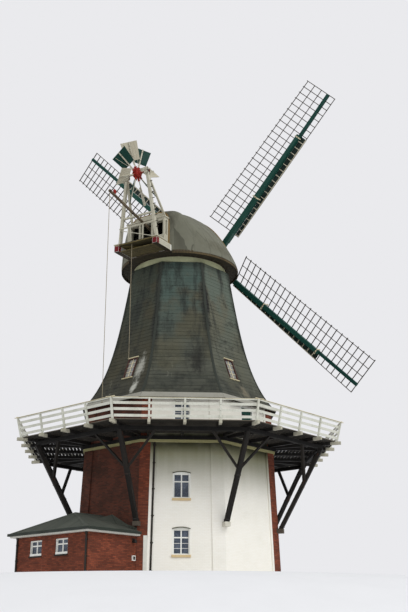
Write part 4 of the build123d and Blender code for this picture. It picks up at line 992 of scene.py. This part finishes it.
def makeWindowTrim():  # casings, hoods, brick arches, sills and glazing bars
    casing, hoods, arches, sills, bars = newMeshes(5)
    half, reach, hood = windowTrim["half"], windowTrim["hoodReach"], windowTrim["hood"]
    for face, sill, height, rise in baseWindows():
        point, top = panelPoint(face), sill + height
        addBand(casing, point, openingLoop(half - 0.012, sill + 0.02, top - 0.012, rise),
                openingLoop(half + windowTrim["casing"], sill - 0.01, top + 0.012, rise), -0.14, 0.012)
        edge = []
        for n in range(13):
            along = windowTrim["hoodHalf"] * (n / 6 - 1)
            low = top - rise * (along / half) ** 2 + 0.01
            edge.append([point(along, low + up, out) for up, out in (
                (0, -0.03), (0, reach), (hood * 0.6, reach), (hood, -0.03))])
        addRun(hoods, edge)
        for n in range(windowTrim["bricks"] if face > 1 else 0):
            left, right = (windowTrim["arch"] * (2 * (n + k) / windowTrim["bricks"] - 1) for k in (0.04, 0.96))
            low = top - rise * ((left + right) / 2 / half) ** 2 + hood
            loop = [point(along, z, -0.02) for along, z in (
                (left, low), (right, low), (right * 1.07, low + 0.22), (left * 1.07, low + 0.22))]
            addPrism(arches, loop, outOf[face] * 0.032)
        for wide, out, low, inner, chamfer in ((half, 0.0, sill - 0.07, -0.25, 0.0), (
                windowTrim["sillHalf"], windowTrim["sillReach"], sill - windowTrim["sillDrop"], -0.01, 0.015)):
            profile = ((inner, sill), (out, sill - out * 0.25), (out, low + 0.02), (out - chamfer, low), (inner, low))
            addPrism(sills, [point(-wide, z, place) for place, z in profile], alongOf[face] * wide * 2)
        tall = 0.7 * (height - rise - 3 * windowTrim["frame"])
        for side in (-0.19, 0.19) if sill != windowTrim["lowRows"][1] else ():
            for share in (1 / 3, 2 / 3):
                spot = facePoint(face, side, wallApothem(top) - 0.174, sill + windowTrim["frame"] + tall * share)
                addSlat(bars, spot, alongOf[face] * 0.16, windowTrim["bar"], 0.022, outOf[face])
    finishPiece(casing, "windowCasings", "frames", "tower", 0.003)
    # the dark hood strips stand partly for the shadow over each window
    finishPiece(hoods, "windowHoods", "hood", "tower", 0.004)
    finishPiece(arches, "windowArches", "brick", "tower", 0.004)
    finishPiece(bars, "glazingBars", "frames", "tower")
    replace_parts(finishPiece(sills, "sillStones", "sill", "tower", 0.004), "window_sills")


doorTrim = {"doors": ((1, tower["deckTop"], 1.65, 0.45, 0.0), (4, 0.25, 2.10, 0.50, 0.08)), "boards": 7,
            "boardRise": 0.022, "hinge": 0.05, "ring": 0.035, "steps": ((0.75, 0.62, 0.0), (0.64, 0.34, 0.125))}


def makeDoorTrim():  # boards, strap hinges, ring handles and casings of the two doors
    boards, iron, casing, steps = newMeshes(4)
    for face, bottom, height, half, rise in doorTrim["doors"]:
        out, along = outOf[face], alongOf[face]
        top = bottom + height
        flat = out * (wallApothem(top) - 0.15)
        wide = (2 * half - 0.012) / doorTrim["boards"]
        for n in range(doorTrim["boards"]):
            left = 0.006 - half + wide * n
            right = left + wide - 0.008
            loop = [flat + along * a + upward * z for a, z in (
                (left, bottom + 0.015), (right, bottom + 0.015),
                (right, top - rise * (right / half) ** 2 - 0.01), (left, top - rise * (left / half) ** 2 - 0.01))]
            addPrism(boards, loop, out * doorTrim["boardRise"])
        for level in (bottom + 0.28, top - 0.36):
            spot = flat + out * (doorTrim["boardRise"] + 0.005) + upward * level
            pin = spot - along * (half - 0.01)
            addBar(iron, spot - along * (half - 0.02), spot + along * half * 0.45, doorTrim["hinge"], 0.01, out)
            addRound(iron, pin - upward * 0.06, pin + upward * 0.06, 0.016)
            for n in range(5):
                addBolt(iron, spot + along * half * (0.36 - 0.32 * n) + out * 0.004, out, 0.024, 0.012)
        lock = flat + out * (doorTrim["boardRise"] + 0.004) + along * (half - 0.12) + upward * (bottom + 0.95)
        addSlat(iron, lock, upward * 0.07, 0.05, 0.008, out)
        centre = lock + out * 0.02 - upward * 0.03
        ring = [centre + turned(along, upward, n * math.pi / 6) * doorTrim["ring"] for n in range(13)]
        for first, last in zip(ring, ring[1:]):
            addRound(iron, first, last, 0.006, 8)
        addBand(casing, panelPoint(face), openingLoop(half - 0.012, bottom, top - 0.012, rise),
                openingLoop(half + 0.06, bottom - 0.04, top + 0.06, rise), -0.13, 0.014)
    back = wallApothem(0.1) - 0.08
    for half, reach, low in doorTrim["steps"]:
        loop = [facePoint(4, a, out, low) for a, out in boxLoop(-half, half, back, back + reach)]
        addPrism(steps, loop, upward * 0.121)
    finishPiece(boards, "doorBoards", "green", "tower", 0.003)
    finishPiece(iron, "doorIrons", "iron", "tower", 0.002)
    finishPiece(casing, "doorCasings", "frames", "tower", 0.003)
    finishPiece(steps, "doorSteps", "stone", "tower", 0.008)


def makeSmockWindows():  # glazing bars, and a board above and below each window
    white, boards = newMeshes(2)
    for face, shift in smockWindow["shift"].items():
        foot, head = (smockPoint(face, shift, smockWindow["low"] + rise) for rise in (0, smockWindow["rise"]))
        up, tall, along = (head - foot).normalized(), (head - foot).length, alongOf[face]
        out = along.cross(up).normalized()
        inside = foot - out * 0.026
        addBar(white, inside + up * 0.06, inside + up * (tall - 0.06), smockWindow["bar"] * 1.6, 0.024, out)
        for share in smockWindow["bars"]:
            addSlat(white, inside + up * tall * share, along * smockWindow["barHalf"], smockWindow["bar"], 0.024, out)
        for level, reach in ((-0.02, 0.06), (tall + 0.02, 0.07)):
            middle = foot + up * level + out * reach / 2
            addSlat(boards, middle, along * smockWindow["headHalf"], smockWindow["head"], reach, out)
    finishPiece(white, "smockGlazingBars", "cream", "tower")
    finishPiece(boards, "smockWindowBoards", "windowBoard", "tower", 0.004)


makeWindowTrim()
makeDoorTrim()
makeSmockWindows()
print("windows and doors trimmed")


# ledger, cornice, strut irons and pipes of the base

baseTrim = {"ledgerLow": 6.97, "ledgerHigh": 7.13, "ledgerReach": 0.15, "corniceLow": 6.84, "corniceReach": 0.07,
            "strutFoot": (5.756, 2.90), "strutHead": (8.042, 6.952), "strutHalf": 0.11,
            "plates": ((2.92, 3.42, 3), (5.0, 5.42, 2), (6.62, 6.90, 2)), "straps": (3.0, 5.0),  # from, to, bolts
            "capReach": 8.4703, "capHeight": 8.30, "capPast": 0.24,
            "railHalf": 8.1763, "railReach": 8.2403, "railLean": 0.23, "railPlaces": (-0.5, 0.0, 0.5),
            "railLevels": (0.12, 0.42, 0.70), "boltPair": (-0.028, 0.028)}


def makeLedger():  # the beam under the joists, near black as painted shade, and the pale cornice below it
    dark, cream = newMeshes(2)
    low, middle, high = baseTrim["corniceLow"], baseTrim["ledgerLow"], baseTrim["ledgerHigh"]
    for face in range(8):
        for mesh, foot, head, reach in ((dark, middle, high, baseTrim["ledgerReach"]),
                                        (cream, low, middle, baseTrim["corniceReach"])):
            inner, outer = wallApothem(head) - 0.08, wallApothem(foot) + reach
            loop = [facePoint(face, out * cornerSlope * side, out, foot)
                    for out, side in ((inner, -1), (outer, -1), (outer, 1), (inner, 1))]
            addPrism(mesh, loop, upward * (head - foot))
    finishPiece(dark, "ledgerBeams", "soffit", "tower", 0.005)
    finishPiece(cream, "cornice", "cornice", "tower", 0.006)


def makeStrutIrons():  # plates and bolts at the foot, the fork and the head of each strut
    mesh = bmesh.new()
    (start, low), (end, high) = baseTrim["strutFoot"], baseTrim["strutHead"]
    for out in cornerOf:
        tangent = upward.cross(out)
        foot, head = out * start + upward * low, out * end + upward * high

        def spot(height):
            return foot.lerp(head, (height - low) / (high - low))
        for side in (tangent, -tangent):
            lift = side * (baseTrim["strutHalf"] + 0.006)
            for first, last, bolts in baseTrim["plates"]:
                addBar(mesh, spot(first) + lift, spot(last) + lift, 0.085, 0.012, tangent)
                for n in range(bolts):
                    place = spot(first + (last - first) * (n + 0.5) / bolts)
                    addBolt(mesh, place + lift * 1.04, side, 0.05, 0.03)
        for height in baseTrim["straps"]:
            for push in (-1, 1):
                middle = spot(height) + out * push * (baseTrim["strutHalf"] + 0.005)
                addSlat(mesh, middle, tangent * 0.12, 0.07, 0.012, out)
    finishPiece(mesh, "strutIrons", "iron", "tower", 0.002)


annex = {"face": 7, "wallOut": 8.3451, "wallRight": 2.157, "eaveRight": 2.407, "eaveLeft": -3.293, "eaveOut": 8.595,
         "eaveHeight": 2.40, "middle": -0.443, "ridgeOut": 6.915, "ridgeHeight": 3.37, "gutter": 0.11,
         "gutterRise": 0.125, "gutterWall": 0.012, "gutterLow": 2.275, "lap": 0.14, "pipeOut": 8.3905,
         "windows": (0.327, -1.568), "windowLow": 1.27, "windowHalf": 0.44, "lamp": (5.46, 1.97), "box": (5.42, 1.16)}
annexOut, annexAlong = outOf[annex["face"]], alongOf[annex["face"]]


def annexPoint(along, out, height):
    return facePoint(annex["face"], along, out, height)


def makePipeTrim():  # collars, brackets and shoes of the downpipes
    mesh = bmesh.new()
    pipes = [(Vector((-1.4747, -5.2839, 0.0)), Vector((-1.3628, -5.0138, 7.13)), outOf[0],
              (0.6, 1.9, 3.2, 4.5, 5.8, 6.7))]
    for along in (2.087, -2.973):
        foot = annexPoint(along, annex["pipeOut"], 0)
        pipes.append((foot, foot + upward * 2.2, annexOut, (0.35, 1.1, 1.85)))
    for foot, head, out, heights in pipes:
        line = (head - foot).normalized()
        for height in heights:
            spot = foot.lerp(head, height / (head.z - foot.z))
            addRound(mesh, spot - line * 0.035, spot + line * 0.035, 0.056, 20)
            addBar(mesh, spot - out * 0.09, spot - out * 0.02, 0.05, 0.02, upward)
            addSlat(mesh, spot - out * 0.045, out.cross(upward) * 0.085, 0.05, 0.012, out)
        addRound(mesh, foot + upward * 0.17, foot + upward * 0.05 + out * 0.09, 0.056, 20)
        addRound(mesh, head - line * 0.10, head - line * 0.01, 0.052, 20, 0.072)
    finishPiece(mesh, "pipeTrim", "pipe", "tower")


def makeCoverStrips():  # the board that covers the joint of annex and tower
    mesh = bmesh.new()
    loop = [wallPoint(0, along, 0.01, out) for along, out in boxLoop(-1.84, -1.65, -0.02, 0.03)]
    addPrism(mesh, loop, wallPoint(0, 0, 2.24) - wallPoint(0, 0, 0.01))
    finishPiece(mesh, "coverBoard", "white", "tower", 0.004)


def makeRailTrim():  # bolts of the posts, and capping strips that run past the corners
    bolts, caps = newMeshes(2)
    lean = baseTrim["railLean"]
    for face in range(8):
        out = alongOf[face].cross(outOf[face] * lean + upward).normalized()
        for place, level, lift in itertools.product(
                baseTrim["railPlaces"], baseTrim["railLevels"], baseTrim["boltPair"]):
            spot = facePoint(face, baseTrim["railHalf"] * cornerSlope * place, baseTrim["railReach"] + lean * level,
                             tower["deckTop"] + level + lift)
            addBolt(bolts, spot - out * 0.071, -out, 0.022, 0.012)
            addBolt(bolts, spot + out * 0.045, out, 0.022, 0.012)
        centre = facePoint(face, 0, baseTrim["capReach"], baseTrim["capHeight"] + 0.018 * (face % 2))
        half = baseTrim["capReach"] * cornerSlope + baseTrim["capPast"]
        addSlat(caps, centre, alongOf[face] * half, 0.085, 0.018, upward)
    finishPiece(bolts, "railBolts", "iron", "tower")
    finishPiece(caps, "railCaps", "cream", "tower", 0.003)


makeLedger()
makeStrutIrons()
makePipeTrim()
makeCoverStrips()
makeRailTrim()
print("base trimmed")


# annex

def makeGutters():  # an open gutter round three sides of the annex
    mesh = bmesh.new()
    wide, high, thin = annex["gutter"], annex["gutterRise"], annex["gutterWall"]
    shape = ((0, 0), (wide, 0), (wide, high), (wide - thin, high), (wide - thin, thin), (thin, thin), (thin, high),
             (0, high))
    right, left, out = annex["eaveRight"], annex["eaveLeft"], annex["eaveOut"]
    path = ((right, 5.24, 1, 0), (right, out, 1, 1), (left, out, -1, 1), (left, 4.12, -1, 0))
    addRun(mesh, [[annexPoint(along + a * o, out + b * o, annex["gutterLow"] + z) for o, z in shape]
                  for along, out, a, b in path])
    for along in range(-3, 3):
        addBar(mesh, annexPoint(along + 0.2, 8.50, 2.33), annexPoint(along + 0.2, 8.715, 2.33), 0.03, 0.012, upward)
    finishPiece(mesh, "gutters", "gutter", "tower")


def roofHeight(along):
    return annex["ridgeHeight"] - 0.97 * abs(along - annex["middle"]) / 2.85


def makeRoofLaps():  # strips over ridge and hips, felt at the eaves, and the saddle at the tower
    mesh = bmesh.new()
    ridge = annexPoint(annex["middle"], annex["ridgeOut"], annex["ridgeHeight"])
    wallEnd = annexPoint(annex["middle"], wallApothem(annex["ridgeHeight"]) - 0.02, annex["ridgeHeight"])
    right, left, front = ((way - upward * 0.97).normalized() for way in (
        annexAlong * 2.85, annexAlong * -2.85, annexOut * 1.68))
    rightEave, leftEave = (annexPoint(annex[key], annex["eaveOut"], annex["eaveHeight"])
                           for key in ("eaveRight", "eaveLeft"))
    for start, end, fallA, fallB in ((wallEnd, ridge, left, right), (ridge, rightEave, right, front),
                                     (ridge, leftEave, left, front)):
        line = (end - start).normalized()
        first, second = (line.cross(fall).normalized() for fall in (fallA, fallB))
        first, second = (normal if normal.z > 0 else -normal for normal in (first, second))
        ends = []
        for spot in (start, end):
            a, b = spot + fallA * annex["lap"], spot + fallB * annex["lap"]
            top = spot + (first + second).normalized() * 0.03
            ends.append([a - first * 0.02, a + first * 0.014, top, b + second * 0.014, b - second * 0.02])
        addRun(mesh, ends)
    wall = wallApothem(3.0) - 0.05
    a, b, c, d = (mesh.verts.new(annexPoint(along, wall + out, roofHeight(along) + lift)) for along, out, lift in (
        (-0.3, 0, -0.01), (1.95, 0, -0.01), (0.3, 0, 0.28), (0.4, 1.0, -0.005)))
    for loop in ((a, b, c), (a, c, d), (c, b, d), (a, d, b)):
        mesh.faces.new(loop)
    for last in (2.15, -2.15):
        edge = [(along, roofHeight(along) + lift) for along, lift in (
            (annex["middle"], 0), (last, 0), (last, 0.12), (annex["middle"], 0.03))]
        addPrism(mesh, [annexPoint(along, wallApothem(z) - 0.03, z) for along, z in edge], annexOut * 0.05)
    finishPiece(mesh, "annexRoofLaps", "annexFelt", "tower", 0.003)


def makeAnnexTrim():  # window boards, glazing, a dark strip as painted shadow under each sill, the lamp and the meter box
    white, dark = newMeshes(2)
    half = annex["windowHalf"]
    for along in annex["windows"]:
        middle = annexPoint(along, annex["wallOut"], annex["windowLow"])
        # the third slat is a dark strip under each sill: painted shadow
        for mesh, reach, up, out, wide, deep in ((white, half, 0.055, -0.055, 0.11, 0.09),
                                                 (white, half, 0.715, -0.07, 0.03, 0.08),
                                                 (dark, half + 0.04, -0.035, 0.0, 0.07, 0.08)):
            addSlat(mesh, middle + upward * up + annexOut * out, annexAlong * reach, wide, deep, annexOut)
        for edge in (0.02 - half, half - 0.02):
            foot = middle + annexAlong * edge - annexOut * 0.07
            addBar(white, foot, foot + upward * 0.73, 0.04, 0.08, annexOut)
    lamp, box = (annexPoint(annex["wallRight"], *annex[key]) for key in ("lamp", "box"))
    shade = lamp + annexAlong * 0.16
    addSlat(dark, lamp, upward * 0.11, 0.13, 0.04, annexAlong)
    addRound(dark, lamp + upward * 0.03, shade + upward * 0.05, 0.018, 10)
    addRound(dark, shade + upward * 0.07, shade - upward * 0.09, 0.035, 16, 0.10)
    addRound(dark, shade - upward * 0.09, shade - upward * 0.11, 0.10, 16, 0.09)
    addSlat(white, box, upward * 0.12, 0.20, 0.14, annexAlong)
    addSlat(dark, box + annexAlong * 0.072, upward * 0.08, 0.13, 0.008, annexAlong)
    finishPiece(white, "annexWhiteTrim", "frames", "tower", 0.003)
    finishPiece(dark, "wallLampAndSillShadows", "iron", "tower", 0.002)


makeGutters()
makeRoofLaps()
makeAnnexTrim()
print("annex trimmed")


# irons of cap and sails, and boards under the stage

capIrons = {"pollCentre": -0.25, "pollHalf": 0.38, "pollDepth": 0.84, "block": (0.34, 0.22, 0.17),
            "poleRoot": (-2.9, 0.15, 19.36), "poleTip": (-7.3, 0.15, 20.28), "poleBands": (0.06, 0.5, 0.985),
            "sheave": 0.12, "sheaveAt": 0.90}


def makeStageSoffit():  # boards under the stage, between its beams
    mesh = bmesh.new()
    for n in range(11):
        place = capPoint(-4.385 + n * 0.112, 0, 17.995 - 0.003 * (n % 2))
        addSlat(mesh, place, rightward * 1.145, 0.106, 0.022, upward)
    finishPiece(mesh, "stageSoffit", "stageWood", "cap", 0.003)


def makeFanBearings():  # the blocks that hold the fan's axle, with their straps
    wood, iron = newMeshes(2)
    length, height, width = capIrons["block"]
    for side in (rightward, -rightward):
        spot = fanHub + side * 0.70
        for drop in (-0.10, 0.10):
            addSlat(wood, spot + upward * drop, forward * length / 2, width + 0.03, height / 2 + 0.03, upward)
        for ahead in (-0.12, 0.12):
            for push in (-1, 1):
                middle = spot + forward * ahead + rightward * push * (width / 2 + 0.02)
                addSlat(iron, middle, upward * 0.22, 0.035, 0.01, rightward)
            addBolt(iron, spot + forward * ahead + upward * 0.165, upward, 0.04, 0.03)
        addRound(iron, spot + side * 0.10, spot + side * 0.15, 0.075, 20)
    finishPiece(wood, "fanBearings", "weathered", "cap", 0.006)
    finishPiece(iron, "fanBearingIrons", "iron", "cap", 0.002)


def addSquareBand(mesh, centre, first, second, out, half, width, thick):  # four flats round a squared timber
    for push, across in ((first, second), (-first, second), (second, first), (-second, first)):
        addSlat(mesh, centre + push * out, across * half, width, thick, push)


def makePoleIrons():  # bands round the brake pole and the sheave that stands on it
    iron, red = newMeshes(2)
    root, tip = capPoint(*capIrons["poleRoot"]), capPoint(*capIrons["poleTip"])
    up = rightward.cross(tip - root).normalized()
    up = up if up.z > 0 else -up
    for share in capIrons["poleBands"]:
        addSquareBand(iron, root.lerp(tip, share), up, rightward, 0.059, 0.064, 0.05, 0.008)
    spot = root.lerp(tip, capIrons["sheaveAt"])
    for side in (-0.035, 0.035):
        addSlat(red, spot + rightward * side + up * 0.16, up * 0.11, 0.08, 0.012, rightward)
    for level, half, radius, sides in ((0.22, 0.022, capIrons["sheave"], 24), (0.20, 0.055, 0.018, 12)):
        centre = spot + up * level
        addRound(red, centre - rightward * half, centre + rightward * half, radius, sides)
    finishPiece(iron, "poleBands", "iron", "cap")
    finishPiece(red, "poleSheave", "redIron", "cap", 0.002)


def makePollIrons():  # bands, wedges and the front plate of the shaft's head
    red, wood = newMeshes(2)
    centre = sailHub + shaftAxis * capIrons["pollCentre"]
    half, depth = capIrons["pollHalf"], capIrons["pollDepth"]
    reach, side = armVectors(0)
    for ahead in (0.05 - depth / 2, depth / 2 - 0.05):
        addSquareBand(red, centre + shaftAxis * ahead, reach, side, half + 0.008, half + 0.016, 0.09, 0.016)
    plate = centre + shaftAxis * (depth / 2)
    face = plate + shaftAxis * 0.03
    addRound(red, plate, face, 0.24, 32, 0.22)
    addRound(red, face, plate + shaftAxis * 0.07, 0.09, 20, 0.07)
    for n in range(8):
        addBolt(red, face + turned(reach, side, math.pi * n / 4) * 0.17, shaftAxis, 0.045, 0.03)
    for number in range(4):
        reach, side = armVectors(number)
        for edge in (-0.175, 0.175):
            spot = centre + shaftAxis * armShift(number) + reach * (half + 0.01) + side * edge
            loop = [spot + shaftAxis * a + side * b for a, b in boxLoop(-0.08, 0.08, -0.016, 0.016)]
            addPrism(wood, loop, reach * 0.14)
    finishPiece(red, "pollIrons", "redIron", "sails", 0.004)
    finishPiece(wood, "pollWedges", "cream", "sails", 0.003)


makeStageSoffit()
makeFanBearings()
makePoleIrons()
makePollIrons()
print("irons added")


# floor, light and camera

stageLook = {
    "flat": 15.1, "slopeEnd": 35.0, "drop": 5.0, "reach": 160.0, "around": 96,
    "floor": (228, 228, 230), "floorSpots": (234, 234, 236), "sky": (234, 234, 237),
    "lights": (("keyLight", 1.25, 35.0, 50.0, 42.0), ("fillLight", 0.2, 60.0, 60.0, -60.0)),
    "lens": 54.70, "cameraPlace": (-1.887, -51.46, -2.222), "cameraTilt": 19.38, "cameraTurn": -3.7,
}


def makeFloor():  # flat under the mill, and falling away round it
    rows = [(8.0, 0.0), (stageLook["flat"], 0.0)]
    for share in (step / 12 for step in range(1, 13)):
        radius = stageLook["flat"] + (stageLook["slopeEnd"] - stageLook["flat"]) * share
        rows.append((radius, -stageLook["drop"] * share * share * (3 - 2 * share)))
    rows.append((stageLook["reach"], -stageLook["drop"]))
    turns = [2 * math.pi * n / stageLook["around"] for n in range(stageLook["around"])]
    mesh = bmesh.new()
    rings = addRun(mesh, [[(radius * math.cos(turn), radius * math.sin(turn), height) for turn in turns]
                          for radius, height in rows[::-1]], capped=False)
    mesh.faces.new(rings[-1])
    data = bpy.data.meshes.new("paleFloor")
    mesh.to_mesh(data)
    mesh.free()
    data.polygons.foreach_set("use_smooth", [True] * len(data.polygons))
    floor = bpy.data.objects.new("paleFloor", data)
    addToScene(floor)
    spot = startFinish("paleFloor", 0.9)[0]
    colour = mixTone(noise(spot, 0.6), stageLook["floor"], stageLook["floorSpots"])
    bench["tree"].links.new(colour, bench["shader"].inputs["Base Color"])
    data.materials.append(bench["finish"])


def makeLight():
    world = bpy.data.worlds.new("studio")
    bpy.context.scene.world = world
    world.use_nodes = True
    tree = world.node_tree
    tree.nodes.clear()
    bench["tree"] = tree
    rays = put("LightPath").outputs
    seen = sum2("MAXIMUM", rays["Is Camera Ray"], sum2("MAXIMUM", rays["Is Glossy Ray"], rays["Is Transmission Ray"]))
    lit = put("Background", {"Color": (0.97, 0.985, 1.0, 1.0), "Strength": 0.72})
    shown = put("Background", {"Color": tone(stageLook["sky"]), "Strength": 1.0})
    mixed = put("MixShader", {0: seen, 1: lit.outputs[0], 2: shown.outputs[0]})
    put("OutputWorld", {0: mixed.outputs[0]})
    for name, strength, size, tilt, turn in stageLook["lights"]:
        lamp = bpy.data.lights.new(name, "SUN")
        lamp.energy = strength
        lamp.angle = math.radians(size)
        holder = bpy.data.objects.new(name, lamp)
        holder.rotation_euler = (math.radians(tilt), 0, math.radians(turn))
        addToScene(holder)


def makeCamera():
    data = bpy.data.cameras.new("photoView")
    data.lens = stageLook["lens"]
    data.sensor_width = 36.0
    data.clip_end = 1000
    holder = bpy.data.objects.new("photoView", data)
    holder.location = stageLook["cameraPlace"]
    holder.rotation_euler = (math.radians(90 + stageLook["cameraTilt"]), 0, math.radians(stageLook["cameraTurn"]))
    addToScene(holder)
    bpy.context.scene.camera = holder
    bpy.context.scene.view_settings.view_transform = "Standard"


makeFloor()
makeLight()
makeCamera()
print("floor, light and camera placed")
